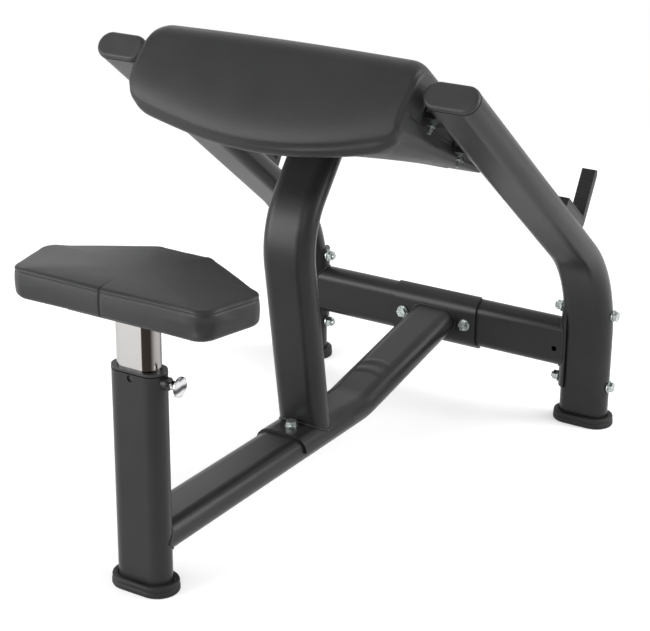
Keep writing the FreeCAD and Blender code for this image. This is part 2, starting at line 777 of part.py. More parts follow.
def arm_pad():
    wide = size("pad_wide")
    out = size("pad_out")
    under = -size("pad_far_drop")
    far = size("pad_long")
    far_round = size("pad_far_round")
    corner = size("pad_corner")
    low = size("pad_low_corner")
    nose = size("pad_nose_round")
    inset = size("pad_nose_inset")
    drop = size("pad_nose_drop")
    tuck = size("pad_tuck")
    shoulder = size("pad_shoulder")
    swell = size("pad_low_bulge")
    bulge = size("pad_bulge")
    waist = size("pad_bulge_end")
    taper = size("pad_taper_long")
    side = size("pad_nose_side")
    middle = size("pad_nose_middle")
    thin = (out - size("pad_crown") + under) / 2 - 1
    end_corner = thin - far_round / 4

    def underside(depth):
        return depth + (under - depth) * waist / taper

    far_drops = (under - 0.5, under)
    sections = [
        pad_section(-nose, wide - 2 * inset, shoulder, swell, out - drop - inset, side - inset, middle - inset,
                    corner, low),
        pad_section(0, wide - tuck, shoulder, swell, out - drop, side, middle, corner, low),
        pad_section(nose + tuck, wide, shoulder + bulge, swell + bulge, out, side - tuck, middle - tuck,
                    corner, low),
        pad_section(waist, wide, shoulder, 0, out, underside(side), underside(middle), corner, low),
        pad_section(taper, wide, 0, 0, out, *far_drops, corner, thin),
        pad_section(far - far_round, wide, 0, 0, out, *far_drops, thin, thin),
        pad_section(far, wide - far_round, 0, 0, out - far_round / 2, *far_drops, end_corner, end_corner),
    ]
    cushion = doc.addObject("Part::Feature", "arm_pad_form")
    cushion.Shape = Part.makeLoft(sections, True, True)
    near = on_slope(0, pad_near, 0)
    cushion.Placement = near

    board = doc.addObject("Part::Box", "arm_pad_board")
    bind(board, "Length", "pad_board_wide")
    bind(board, "Width", "pad_board_long")
    bind(board, "Height", "pad_board_thick")
    board.Placement = shifted(near, -size("pad_board_wide") / 2, size("pad_board_from"), pad_floor)

    recess = doc.addObject("Part::Box", "arm_pad_recess")
    bind(recess, "Length", "pad_board_wide + 2 * pad_board_gap")
    bind(recess, "Width", "pad_board_long + 2 * pad_board_gap")
    bind(recess, "Height", "pad_nose_middle")
    gap = size("pad_board_gap")
    depth = pad_floor + size("pad_board_thick") - size("pad_nose_middle")
    recess.Placement = shifted(near, -size("pad_board_wide") / 2 - gap, size("pad_board_from") - gap, depth)
    cut_from("arm_pad", cushion, [recess])

    plate_place = on_slope(0, post_up, pad_floor - size("pad_plate_thick"))
    plate = box_node("pad_plate", "pad_plate_wide", "pad_plate_long", "pad_plate_thick", plate_place)
    screws, plate_holes, board_holes = [], [], []
    for x in (-0.5, 0.5):
        for y in (-0.5, 0.5):
            name = f"pad_screw_{len(screws)}"
            spot = shifted(plate_place, x * size("pad_screw_wide"), y * size("pad_screw_long"), 0)
            length = size("pad_plate_thick") + size("screw_long")
            screws.append(hex_bolt(name, "small", spot, length))
            through = shifted(spot, 0, 0, -1)
            depth = size("pad_plate_thick") + 2
            plate_holes.append(drill(f"{name}_plate", through, "small_bolt / 2 + bolt_gap", depth))
            depth = size("pad_plate_thick") + size("pad_board_thick") + 1
            board_holes.append(drill(f"{name}_board", spot, "small_bolt / 2 + thread_gap", depth))
    cut_from("pad_plate", plate, plate_holes)
    cut_from("arm_pad_board", board, board_holes)
    grouped("pad_plate_screws", screws)


def pad_brackets():
    # two small angles on each end of the pad, bolted down to lugs on the inner sides of the uprights
    face = size("pad_wide") / 2
    wall = size("bracket_wall")
    inner = half_spread - half_wide
    bolt_x = (face + wall + inner) / 2
    tab_wide = inner - face - wall - size("bracket_gap")
    firsts = [size("bracket_bolt_first") + step * size("bracket_bolt_gap") for step in (0, 1)]
    places = []
    for name, side in (("left", -1), ("right", 1)):
        label = f"pad_bracket_{name}"
        near = on_slope(0, pad_near, 0)
        middle = face + wall / 2
        low = -size("tab_drop")
        angles = []
        lugs = []
        holes = []
        for step, first in enumerate(firsts):
            cheek = doc.addObject("Part::Box", f"{label}_cheek_{step}")
            bind(cheek, "Length", "bracket_wall")
            bind(cheek, "Width", "bracket_long")
            bind(cheek, "Height", "bracket_tall")
            cheek_start = first - size("bracket_long") / 2
            cheek.Placement = shifted(near, side * middle - wall / 2, cheek_start, low)
            tab = doc.addObject("Part::Box", f"{label}_tab_{step}")
            tab.Length = tab_wide
            bind(tab, "Width", "tab_long")
            bind(tab, "Height", "bracket_wall")
            tab_x = face + wall if side > 0 else -face - wall - tab_wide
            start = first - size("tab_long") / 2
            tab.Placement = shifted(near, tab_x, start, low)
            angle = doc.addObject("Part::Fuse", f"{label}_angle_{step}")
            angle.Base = cheek
            angle.Tool = tab
            angles.append(angle)
            lug = doc.addObject("Part::Box", f"{label}_lug_{step}")
            lug.Length = tab_wide + size("tube_deep") / 2
            bind(lug, "Width", "tab_long")
            bind(lug, "Height", "lug_thick")
            lug_x = face + wall + size("bracket_gap")
            lug_x = lug_x if side > 0 else -lug_x - tab_wide - size("tube_deep") / 2
            lug.Placement = shifted(near, lug_x, start, low - size("lug_thick"))
            lugs.append(lug)
            place = turned(shifted(near, side * bolt_x, first, low + wall), across, 180)
            places.append(place)
            hole = shifted(place, 0, 0, -1)
            depth = 2 * (wall + size("lug_thick"))
            holes.append(drill(f"{label}_hole_{step}", hole, "small_bolt / 2 + bolt_gap", depth))
        pair = doc.addObject("Part::Compound", f"{label}_pair")
        pair.Links = angles
        cut_from(label, pair, holes)
        tube = new_body(f"pad_lugs_{name}_tube", on_slope(side * half_spread, size("slope_length") / 2, 0))
        outline = flat_oval(new_sketch(tube, "XZ_Plane"), "tube_wide", "tube_deep", "+ weld_gap")
        padded(tube, outline, "slope_length + tube_wide", both_ways=True)
        strip = doc.addObject("Part::Compound", f"pad_lugs_{name}_pair")
        strip.Links = lugs
        lug_holes = [drill(f"pad_lugs_{name}_{step}", hole.Placement, "small_bolt / 2 + bolt_gap", depth)
                     for step, hole in enumerate(holes)]
        cut_from(f"pad_lugs_{name}", strip, [tube] + lug_holes)
    grip = wall + size("lug_thick")
    bolted("pad_bracket", "small", places, grip, size("pad_bolt_tail"))


def bar_hook(name, side):
    # a base strip along the slope with a prong that stops the bar, both lined with plastic
    x = side * (half_spread + size("hook_offset"))
    base = size("hook_base")
    long = size("hook_long")
    thick = size("hook_prong_thick")
    lean = math.radians(size("hook_lean"))
    tall = size("hook_prong_tall")
    liner = size("liner_thick")
    back = vec(-math.sin(lean), math.cos(lean), 0)
    root = vec(long - thick, base, 0)
    tip = root + back * tall
    far = vec(long, base, 0) + back * (tall - thick)
    body = new_body(f"bar_hook_{name}", on_slope(x, size("hook_up"), half_deep + size("weld_gap")))
    profile = new_sketch(body, "YZ_Plane")
    closed_lines(profile, [
        (0, 0), (long - base / 2, 0), (long, base / 2), (long, base), (far.x, far.y),
        (tip.x + thick / 2, tip.y), (tip.x, tip.y), (root.x, root.y), (0, base),
    ])
    padded(body, profile, "hook_wide", both_ways=True)
    holes = []
    for step, place in enumerate(hook_bolt_places(side, half_deep + base)):
        recess = size("hook_recess")
        holes.append(drill(f"bar_hook_{name}_head_{step}", shifted(place, 0, 0, -1), "small_washer / 2 + 0.5",
                           recess + 1))
        holes.append(drill(f"bar_hook_{name}_bolt_{step}", place, "small_bolt / 2 + bolt_gap", base + 1))
    cut_from(f"bar_hook_{name}", body, holes)

    lining = new_body(f"hook_liner_{name}", body.Placement)
    shape = new_sketch(lining, "YZ_Plane")
    inner = root + vec(-liner / math.cos(lean), 0, 0)
    crook = inner + back * (liner / math.cos(lean))
    top = inner + back * (tall - 2)
    outer = root + back * (tall - 2)
    closed_lines(shape, [
        (0, base), (root.x, base), (outer.x, outer.y), (top.x, top.y), (crook.x, base + liner), (0, base + liner),
    ])
    padded(lining, shape, "hook_wide", both_ways=True)
    keep(f"hook_liner_{name}", lining)


def bar_hooks():
    bolts, washers = [], []
    sheet_thick = size("small_washer_thick")
    for name, side in (("left", -1), ("right", 1)):
        bar_hook(name, side)
        seat = half_deep + size("weld_gap") + size("hook_base") - size("hook_recess")
        for step, place in enumerate(hook_bolt_places(side, seat)):
            length = sheet_thick + size("hook_base") - size("hook_recess") + size("tube_wall")
            bolts.append(hex_bolt(f"hook_{name}_{step}_bolt", "small", shifted(place, 0, 0, -sheet_thick), length))
            washers.append(flat_washer(f"hook_{name}_{step}_washer", "small", shifted(place, 0, 0, -sheet_thick)))
    grouped("hook_bolts", bolts)
    grouped("hook_washers", washers)


def seat_outline(inset, z):
    # straight rear, short sides, then two front edges that close in on a narrow nose
    half_rear = size("seat_rear_wide") / 2
    half_side = size("seat_wide") / 2
    half_nose = size("seat_nose_wide") / 2
    corners = [
        vec(-half_rear, -size("seat_rear"), z), vec(half_rear, -size("seat_rear"), z),
        vec(half_side, size("seat_side_reach"), z), vec(half_nose, size("seat_nose_reach"), z),
        vec(-half_nose, size("seat_nose_reach"), z), vec(-half_side, size("seat_side_reach"), z),
    ]
    count = len(corners)
    ways = [(corners[(step + 1) % count] - corners[step]).normalize() for step in range(count)]
    edges, starts, ends = [], [], []
    for step in range(count):
        before = ways[step - 1]
        after = ways[step]
        turn = before.getAngle(after)
        inward = (after - before).normalize()
        point = corners[step] + inward * (inset / math.cos(turn / 2))
        radius = max(size("seat_corner") - inset / 2, 6.0)
        reach = radius * math.tan(turn / 2)
        start = point - before * reach
        end = point + after * reach
        middle = point + inward * (radius / math.cos(turn / 2) - radius)
        edges.append(Part.Arc(start, middle, end).toShape())
        starts.append(start)
        ends.append(end)
    outline = []
    for step in range(count):
        outline.append(edges[step])
        outline.append(Part.makeLine(ends[step], starts[(step + 1) % count]))
    return Part.Wire(outline)


def seat():
    tube_floor = seat_plate_floor - size("inner_long")
    tube = new_body("seat_tube", at(0, 0, tube_floor))
    wall = new_sketch(tube, "XY_Plane")
    flat_oval(wall, "inner_wide", "inner_deep")
    flat_oval(wall, "inner_wide", "inner_deep", "- inner_wall")
    padded(tube, wall, "inner_long - weld_gap")
    holes = []
    for step in range(int(size("index_count"))):
        height = pin_height - step * size("index_pitch")
        hole = at(0, 0, height, along, 90)
        holes.append(drill(f"index_{step}", hole, "pin_thick / 2 + bolt_gap", size("inner_wide")))
    cut_from("seat_tube", tube, holes)

    plug = new_body("seat_tube_plug", at(0, 0, tube_floor))
    body = flat_oval(new_sketch(plug, "XY_Plane"), "inner_wide", "inner_deep", "- inner_wall - cap_gap")
    padded(plug, body, "plug_long")
    lip = flat_oval(new_sketch(plug, "XY_Plane"), "inner_wide", "inner_deep", "- slide_gap")
    padded(plug, lip, "plug_lip", backwards=True)
    keep("seat_tube_plug", plug)

    plate_place = at(0, 0, seat_plate_floor)
    plate = box_node("seat_plate", "seat_plate_wide", "seat_plate_deep", "seat_plate_thick", plate_place)
    board = doc.addObject("Part::Feature", "seat_board")
    floor_face = Part.Face(seat_outline(size("seat_board_inset"), 0))
    board.Shape = floor_face.extrude(vec(0, 0, size("seat_board_thick")))
    board.Placement = at(0, 0, seat_pad_floor)
    screws, plate_holes, board_holes = [], [], []
    for x in (-0.5, 0.5):
        for y in (-0.5, 0.5):
            name = f"seat_screw_{len(screws)}"
            spot = shifted(plate_place, x * size("seat_screw_wide"), y * size("seat_screw_deep"), 0)
            length = size("seat_plate_thick") + size("seat_board_thick") - 2
            screws.append(hex_bolt(name, "small", spot, length))
            through = shifted(spot, 0, 0, -1)
            depth = size("seat_plate_thick") + 2
            plate_holes.append(drill(f"{name}_plate", through, "small_bolt / 2 + bolt_gap", depth))
            board_holes.append(drill(f"{name}_board", spot, "small_bolt / 2 + thread_gap", length + 1))
    cut_from("seat_plate", plate, plate_holes)
    cut_from("seat_board", board, board_holes)
    grouped("seat_screws", screws)

    tuck = size("seat_tuck")
    thick = size("seat_thick")
    steps = [
        (tuck, 0), (0, 0.18 * thick), (tuck / 2, 0.5 * thick), (0, 0.85 * thick),
        (tuck * 1.5, thick), (size("seat_crown_inset"), thick + size("seat_crown")),
    ]
    cushion = doc.addObject("Part::Feature", "seat_pad_form")
    cushion.Shape = Part.makeLoft([seat_outline(inset, z) for inset, z in steps], True, True)
    cushion.Placement = at(0, 0, seat_pad_floor)
    pocket = doc.addObject("Part::Feature", "seat_pad_pocket")
    mouth = Part.Face(seat_outline(size("seat_board_inset") - size("pad_board_gap"), -1))
    pocket.Shape = mouth.extrude(vec(0, 0, size("seat_board_thick") + 1))
    pocket.Placement = at(0, 0, seat_pad_floor)
    cut_from("seat_pad", cushion, [pocket])


seat_post()
seat_post_bush()
pull_pin()
base_beam()
crossbeam()
for name, side in (("left", -1), ("right", 1)):
    end_saddle(f"end_saddle_{name}", side)
    upright(f"upright_{name}", side)
end_grip = size("tube_wide") + size("saddle_gap") + size("saddle_wall")
bolted("upright", "frame", upright_bolt_places(), end_grip, size("bolt_tail"))
centre_post()
arm_pad()
pad_brackets()
bar_hooks()
seat()

doc.recompute()
failed = [item.Label for item in doc.Objects if "Invalid" in item.State or "Error" in item.State]
failed += [label for label, item in nodes.items() if item.Shape.isNull() or not item.Shape.isValid()]
if failed:
    raise RuntimeError(f"pieces that did not build: {failed}")

os.makedirs("parts", exist_ok=True)
for label, item in nodes.items():
    item.Shape.exportStep(f"parts/{label}.step")
print(len(nodes), "pieces written")
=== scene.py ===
import json
import math

import bpy
import numpy as np
from mathutils import Matrix


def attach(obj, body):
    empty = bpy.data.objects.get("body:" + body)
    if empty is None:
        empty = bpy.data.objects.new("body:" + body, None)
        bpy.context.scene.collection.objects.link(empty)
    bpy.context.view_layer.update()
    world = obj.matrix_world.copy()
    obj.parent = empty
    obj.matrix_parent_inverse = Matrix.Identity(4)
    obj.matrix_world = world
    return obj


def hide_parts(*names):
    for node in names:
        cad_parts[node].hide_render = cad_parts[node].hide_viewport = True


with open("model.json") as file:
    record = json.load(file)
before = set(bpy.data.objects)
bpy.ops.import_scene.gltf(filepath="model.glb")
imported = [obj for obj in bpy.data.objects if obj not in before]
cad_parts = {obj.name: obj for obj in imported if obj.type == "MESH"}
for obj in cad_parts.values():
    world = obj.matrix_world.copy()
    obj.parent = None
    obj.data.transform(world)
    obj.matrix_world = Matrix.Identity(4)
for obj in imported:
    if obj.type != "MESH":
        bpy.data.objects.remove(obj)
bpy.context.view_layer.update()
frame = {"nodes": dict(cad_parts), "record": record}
nodes = frame["nodes"]
mm = 0.001

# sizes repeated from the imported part, in millimetres
bench = {
    "reach": 1001.5,        # seat post to uprights
    "originY": 479.15,      # the bench's middle, from the seat post
    "kneeHeight": 309.0,
    "slope": math.radians(38.3),
    "padNear": 778.0,       # knee to the near end of the arm pad, up the slope
    "seatTop": 543.0,
    "seatThick": 49.5,
    "tubeWide": 100.0,
    "tubeDeep": 50.0,
    "plate": 5.1,           # saddle plates and the gap under them
    "halfSpread": 330.0,
    "beamHeight": 90.0,
    "crossHeight": 158.0,
    "postReach": 488.0,
    "postLean": math.radians(9.1),
    "bendReach": 640.0,
}
# from the middle of a tube to the face of its saddle plate
bench["saddle"] = bench["tubeDeep"] / 2 + bench["plate"]
print("frame loaded:", len(nodes), "nodes")


# shader sockets as numbers
class Wire:
    # a socket that can stand in a sum, so a material reads as its formula
    def __init__(self, tree, socket):
        self.tree = tree
        self.socket = socket

    def through(self, kind, settings=None, inputs=None, output=0):
        made = self.tree.nodes.new(kind)
        for name, value in (settings or {}).items():
            setattr(made, name, value)
        for name, value in (inputs or {}).items():
            target = made.inputs[name]
            if isinstance(value, Wire):
                self.tree.links.new(value.socket, target)
            else:
                target.default_value = value
        return Wire(self.tree, made.outputs[output])

    def maths(self, operation, first, second=0.0):
        return self.through("ShaderNodeMath", {"operation": operation}, {0: first, 1: second})

    def __add__(self, other):
        return self.maths("ADD", self, other)

    def __radd__(self, other):
        return self.maths("ADD", other, self)

    def __sub__(self, other):
        return self.maths("SUBTRACT", self, other)

    def __rsub__(self, other):
        return self.maths("SUBTRACT", other, self)

    def __mul__(self, other):
        return self.maths("MULTIPLY", self, other)

    def __rmul__(self, other):
        return self.maths("MULTIPLY", other, self)

    def sine(self):
        return self.maths("SINE", self)

    def noise(self, scale, detail=3.0):
        return self.through("ShaderNodeTexNoise", {}, {"Vector": self, "Scale": scale, "Detail": detail})

    def cells(self, scale, feature="F1"):
        return self.through("ShaderNodeTexVoronoi", {"feature": feature}, {"Vector": self, "Scale": scale})

    def stretched(self, x, y, z):
        return self.through("ShaderNodeMapping", {}, {"Vector": self, "Scale": (x, y, z)})

    def between(self, low, high, newLow=0.0, newHigh=1.0):
        inputs = {0: self, 1: low, 2: high, 3: newLow, 4: newHigh}
        return self.through("ShaderNodeMapRange", {"interpolation_type": "SMOOTHSTEP"}, inputs)

    def tint(self, dark, light):
        # a colour between two, each a triple or the wire of a colour
        ends = [end if isinstance(end, Wire) else (*end, 1) for end in (dark, light)]
        inputs = {"Factor": self, 6: ends[0], 7: ends[1]}
        return self.through("ShaderNodeMix", {"data_type": "RGBA"}, inputs, 2)

    def bump(self, distance, strength):
        inputs = {"Height": self, "Distance": distance, "Strength": strength}
        return self.through("ShaderNodeBump", {}, inputs)

    def part(self, axis):
        return self.through("ShaderNodeSeparateXYZ", {}, {0: self}, axis)


def finish(name, constants, recipe):
    # recipe takes the Object coordinates and gives the sockets that change over the surface
    made = bpy.data.materials.new(name)
    made.use_nodes = True
    tree = made.node_tree
    shader = tree.nodes["Principled BSDF"]
    for socket, value in constants.items():
        shader.inputs[socket].default_value = value
    coords = tree.nodes.new("ShaderNodeTexCoord")
    for socket, wire in recipe(Wire(tree, coords.outputs["Object"])).items():
        tree.links.new(wire.socket, shader.inputs[socket])
    return made


def surface(look, tone, rough, height):
    # what every finish changes: its colour by a tone, its roughness, and its relief by a height
    return {
        "Base Color": tone.between(*look["toneSpan"]).tint(look["dark"], look["light"]),
        "Roughness": rough.between(*look["roughSpan"], *look["rough"]),
        "Normal": height.bump(look["deep"], look["bump"]),
    }


# sizes of patterns are features a metre, spans are where a pattern's value starts and stops to count
paintLook = {
    "dark": (0.012, 0.012, 0.0123),
    "light": (0.019, 0.019, 0.0193),
    "toneSpan": (0.3, 0.7),
    "rough": (0.27, 0.36),
    "roughSpan": (0.3, 0.7),
    "deep": 0.00012,
    "bump": 0.55,
    "cloudSize": 7.0,
    "peelSize": 650.0,      # the powder coat's orange peel
    "speckSize": 2600.0,
}


def paintRecipe(place):
    cloud = place.noise(paintLook["cloudSize"], 4.0)
    peel = place.noise(paintLook["peelSize"], 2.0)
    speck = place.noise(paintLook["speckSize"], 1.0)
    rough = cloud * 0.5 + peel * 0.3 + speck * 0.2
    return surface(paintLook, cloud * 0.6 + speck * 0.4, rough, peel + speck * 0.35)


vinylLook = {
    "dark": (0.0135, 0.0138, 0.0145),
    "light": (0.021, 0.0213, 0.022),
    "toneSpan": (0.25, 0.7),
    "rough": (0.40, 0.54),
    "roughSpan": (0.2, 0.75),
    "deep": 0.00022,
    "bump": 0.5,
    "cloudSize": 9.0,
    "wanderSize": 260.0,
    "grainSize": 820.0,     # leather cells
    "creaseSize": 451.0,
    "creaseSpan": (0.0, 0.22),
    "poreSize": 3200.0,
}


def vinylRecipe(place):
    wander = place.noise(vinylLook["wanderSize"], 2.0)
    cells = place.cells(vinylLook["grainSize"])
    creases = place.cells(vinylLook["creaseSize"], "DISTANCE_TO_EDGE")
    pores = place.noise(vinylLook["poreSize"], 1.0)
    cloud = place.noise(vinylLook["cloudSize"])
    height = cells * 0.5 + creases.between(*vinylLook["creaseSpan"]) * 0.5 + wander * 0.25 + pores * 0.12
    return surface(vinylLook, cloud * 0.7 + cells * 0.3, cloud * 0.6 + creases * 0.8, height)


rubberLook = {
    "dark": (0.010, 0.010, 0.010),
    "light": (0.019, 0.0185, 0.018),
    "toneSpan": (0.3, 0.7),
    "rough": (0.48, 0.66),
    "roughSpan": (0.3, 0.7),
    "deep": 0.00015,
    "bump": 0.5,
    "cloudSize": 14.0,
    "gritSize": 900.0,
}


def rubberRecipe(place):
    cloud = place.noise(rubberLook["cloudSize"], 4.0)
    grit = place.noise(rubberLook["gritSize"])
    return surface(rubberLook, cloud, cloud * 0.5 + grit * 0.5, grit)


plasticLook = {
    "dark": (0.026, 0.026, 0.0265),
    "light": (0.036, 0.036, 0.0365),
    "toneSpan": (0.3, 0.7),
    "rough": (0.38, 0.5),
    "roughSpan": (0.2, 0.8),
    "deep": 0.00012,
    "bump": 0.45,
    "cloudSize": 11.0,
    "sparkSize": 1500.0,    # spark-eroded mould texture
}


def plasticRecipe(place):
    cloud = place.noise(plasticLook["cloudSize"])
    spark = place.cells(plasticLook["sparkSize"])
    return surface(plasticLook, cloud, cloud * 0.5 + spark * 0.5, spark)


# painted shade: the near black of the shadow in a narrow joint
paintedGapShadeLook = {
    "dark": (0.002, 0.002, 0.002),
    "light": (0.005, 0.005, 0.005),
    "toneSpan": (0.3, 0.7),
    "rough": (0.7, 0.9),
    "roughSpan": (0.3, 0.7),
    "deep": 0.0001,
    "bump": 0.3,
    "cloudSize": 40.0,
}


def paintedGapShadeRecipe(place):
    cloud = place.noise(paintedGapShadeLook["cloudSize"], 2.0)
    return surface(paintedGapShadeLook, cloud, cloud, cloud)


linerLook = {
    "dark": (0.014, 0.014, 0.014),
    "light": (0.028, 0.028, 0.028),
    "toneSpan": (0.35, 0.75),
    "rough": (0.4, 0.58),
    "roughSpan": (0.3, 0.7),
    "deep": 0.0002,
    "bump": 0.5,
    "rubStretch": (1.0, 9.0, 9.0),  # rubbed along the bar
    "rubSize": 60.0,
    "sparkSize": 1100.0,
}


def linerRecipe(place):
    rub = place.stretched(*linerLook["rubStretch"]).noise(linerLook["rubSize"])
    spark = place.cells(linerLook["sparkSize"])
    return surface(linerLook, rub, rub * 0.7 + spark * 0.3, rub * 0.5 + spark * 0.5)


tubeLook = {
    # the plating's own tone, then painted reflections towards the right rounded side: dark, and lighter
    # again at its edge
    "flat": (0.43, 0.42, 0.412),
    "paintedDarkReflection": (0.026, 0.021, 0.018),
    "edge": (0.28, 0.268, 0.256),
    "paintedDarkReflectionSpan": (0.0198, 0.0214),  # across, where the painted reflection of a dark studio starts on the right rounded side
    "paintedEdgeReflectionSpan": (0.0335, 0.0392),
    "rough": (0.1, 0.22),
    "roughSpan": (0.25, 0.75),
    "deep": 0.00003,
    "bump": 0.35,
    "drawnSize": (260.0, 260.0, 2.0),  # drawing marks along the tube
    "cloudSize": 16.0,
}


def chromeAndPaintedReflectionRecipe(place):
    drawn = place.stretched(*tubeLook["drawnSize"]).noise(1.0)
    cloud = place.noise(tubeLook["cloudSize"])
    # painted reflection by the object's X: the plating's tone turns dark over the right rounded side and
    # lighter again at its edge
    side = place.part(0)
    body = side.between(*tubeLook["paintedDarkReflectionSpan"]).tint(tubeLook["flat"], tubeLook["paintedDarkReflection"])
    rough = drawn * 0.6 + cloud * 0.4
    return {
        "Base Color": side.between(*tubeLook["paintedEdgeReflectionSpan"]).tint(body, tubeLook["edge"]),
        "Roughness": rough.between(*tubeLook["roughSpan"], *tubeLook["rough"]),
        "Normal": drawn.bump(tubeLook["deep"], tubeLook["bump"]),
    }


pinLook = {
    # dark and light are the colours of the painted reflection's bands
    "dark": (0.05, 0.05, 0.052),
    "light": (0.58, 0.58, 0.59),
    "toneSpan": (-1.0, 0.9),
    "rough": (0.08, 0.18),
    "roughSpan": (0.3, 0.7),
    "deep": 0.00002,
    "bump": 0.3,
    "swirlSize": (40.0, 900.0, 900.0),  # turning marks round the axis
    "cloudSize": 70.0,
    "axisHeight": 0.374,
    "bands": 330.0,         # painted reflection: dark and light bands over the knob, in radians a metre
    "bend": 210.0,
    "waver": 2.0,
}


def pinAndPaintedReflectionRecipe(place):
    # painted reflection of a studio on the plating: bands across the knob's height, bent along its axis
    swirl = place.stretched(*pinLook["swirlSize"]).noise(1.0, 2.0)
    cloud = place.noise(pinLook["cloudSize"], 1.0)
    rise = (place.part(2) - pinLook["axisHeight"]) * pinLook["bands"]
    band = (rise + place.part(0) * pinLook["bend"] + cloud * pinLook["waver"]).sine()
    return surface(pinLook, band, swirl * 0.5 + cloud * 0.5, swirl)


zincLook = {
    "dark": (0.13, 0.15, 0.147),
    "light": (0.5, 0.545, 0.535),
    "toneSpan": (0.2, 0.7),
    "rough": (0.22, 0.42),
    "roughSpan": (0.25, 0.7),
    "deep": 0.00004,
    "bump": 0.4,
    "spangleSize": 420.0,
    "cloudSize": 190.0,
}


def zincRecipe(place):
    spangle = place.cells(zincLook["spangleSize"])
    cloud = place.noise(zincLook["cloudSize"])
    return surface(zincLook, spangle * 0.5 + cloud * 0.5, cloud * 0.7 + spangle * 0.3, cloud)


plywoodLook = {
    "dark": (0.016, 0.0155, 0.015),
    "light": (0.03, 0.029, 0.028),
    "toneSpan": (0.3, 0.7),
    "rough": (0.55, 0.75),
    "roughSpan": (0.3, 0.7),
    "deep": 0.0002,
    "bump": 0.5,
    "grainSize": (60.0, 4.0, 60.0),
    "layerSize": (2.0, 2.0, 420.0),
}


def plywoodRecipe(place):
    grain = place.stretched(*plywoodLook["grainSize"]).noise(1.0, 5.0)
    layers = place.stretched(*plywoodLook["layerSize"]).noise(1.0, 1.0)
    return surface(plywoodLook, grain * 0.6 + layers * 0.4, grain, grain)


metal = {"Metallic": 1.0}
looks = {
    "black_paint": finish("satinPaint", {"Specular IOR Level": 0.22}, paintRecipe),
    "vinyl": finish("blackVinyl", {"Specular IOR Level": 0.24, "Sheen Weight": 0.02}, vinylRecipe),
    "plywood": finish("plywood", {}, plywoodRecipe),
    "foot_rubber": finish("footRubber", {"Specular IOR Level": 0.2}, rubberRecipe),
    "black_plastic": finish("mouldedPlastic", {"Specular IOR Level": 0.24}, plasticRecipe),
    # near-black painted shade for the joints' gaps
    "gap": finish("jointGapPaintedShade", {"Specular IOR Level": 0.03}, paintedGapShadeRecipe),
    "liner_plastic": finish("wearLiner", {"Specular IOR Level": 0.22}, linerRecipe),
    "seat_chrome": finish("tubePlatingAndPaintedReflection", metal, chromeAndPaintedReflectionRecipe),
    "pin_chrome": finish("pinPlatingAndPaintedReflection", metal, pinAndPaintedReflectionRecipe),
    "zinc": finish("zincPlating", metal, zincRecipe),
}
for piece in frame["record"]["subparts"]:
    mesh = nodes[piece["node"]].data
    mesh.materials.clear()
    mesh.materials.append(looks[piece["material_slot"]])
print("finishes set:", len(looks))


# meshes from arrays
def meshPiece(name, points, faces, look, body, smooth=True):
    mesh = bpy.data.meshes.new(name)
    mesh.from_pydata(points.tolist(), [], faces)
    mesh.materials.append(looks[look])
    mesh.polygons.foreach_set("use_smooth", [smooth] * len(mesh.polygons))
    mesh.update()
    made = bpy.data.objects.new(name, mesh)
    bpy.context.scene.collection.objects.link(made)
    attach(made, body)
    return made


def closedFaces(rows, columns):
    # quads between neighbouring rows of a grid that closes on itself, and a fan at each pole
    row = np.arange(rows - 1)[:, None]
    column = np.arange(columns)[None, :]
    beside = (column + 1) % columns
    quads = np.stack(np.broadcast_arrays(
        1 + row * columns + column, 1 + row * columns + beside,
        1 + (row + 1) * columns + beside, 1 + (row + 1) * columns + column), -1).reshape(-1, 4)
    last = 1 + rows * columns
    ring = np.arange(columns)
    start = np.stack([np.zeros_like(ring), 1 + (ring + 1) % columns, 1 + ring], -1)
    base = 1 + (rows - 1) * columns
    end = np.stack([np.full_like(ring, last), base + ring, base + (ring + 1) % columns], -1)
    return quads.tolist() + start.tolist() + end.tolist()


def ringFaces(rows, columns):
    # quads of a grid that closes on itself both ways
    row = np.arange(rows)[:, None]
    column = np.arange(columns)[None, :]
    below, beside = (row + 1) % rows, (column + 1) % columns
    quads = np.stack(np.broadcast_arrays(
        row * columns + column, row * columns + beside,
        below * columns + beside, below * columns + column), -1)
    return quads.reshape(-1, 4).tolist()


def closedPoints(grid):
    # the grid's inner rows, between two poles at the middles of its first and last rows
    inner = grid[1:-1].reshape(-1, grid.shape[-1])
    return np.concatenate([grid[:1].mean(1), inner, grid[-1:].mean(1)])


def easeStep(low, high, value):
    t = np.clip((value - low) / (high - low), 0, 1)
    return t * t * (3 - 2 * t)


def bell(value, wide):
    return np.exp(-(value / wide) ** 2)


def roundedLoop(corners, radii, edgeSteps, arcSteps):
    # corners (stations, n, 2) and their radii (stations, n) become closed loops of straight edges and arcs:
    # each arc turns evenly from the incoming edge to the outgoing one about the fillet's centre
    before = corners - np.roll(corners, 1, axis=1)
    way = before / np.linalg.norm(before, axis=2, keepdims=True)
    onward = np.roll(way, -1, axis=1)
    turn = np.arccos(np.clip((way * onward).sum(2), -1, 1))[..., None]
    inward = onward - way
    inward /= np.maximum(np.linalg.norm(inward, axis=2, keepdims=True), 1e-9)
    radius = radii[..., None]
    centre = corners + inward * radius / np.cos(turn / 2)
    start = corners - way * radius * np.tan(turn / 2) - centre
    stop = corners + onward * radius * np.tan(turn / 2) - centre
    loops = []
    for corner, (edge, arc) in enumerate(zip(edgeSteps, arcSteps)):
        share = np.linspace(0, 1, arc)[None, :, None]
        angle = np.maximum(turn[:, corner:corner + 1], 1e-6)
        bend = (np.sin((1 - share) * angle) * start[:, corner:corner + 1]
                + np.sin(share * angle) * stop[:, corner:corner + 1]) / np.sin(angle)
        loops.append(centre[:, corner:corner + 1] + bend)
        after = (corner + 1) % corners.shape[1]
        leave = (centre + stop)[:, corner:corner + 1]
        arrive = (centre + start)[:, after:after + 1]
        along = np.asarray(edge)[None, :, None]
        loops.append(leave + (arrive - leave) * along)
    return np.concatenate(loops, axis=1)


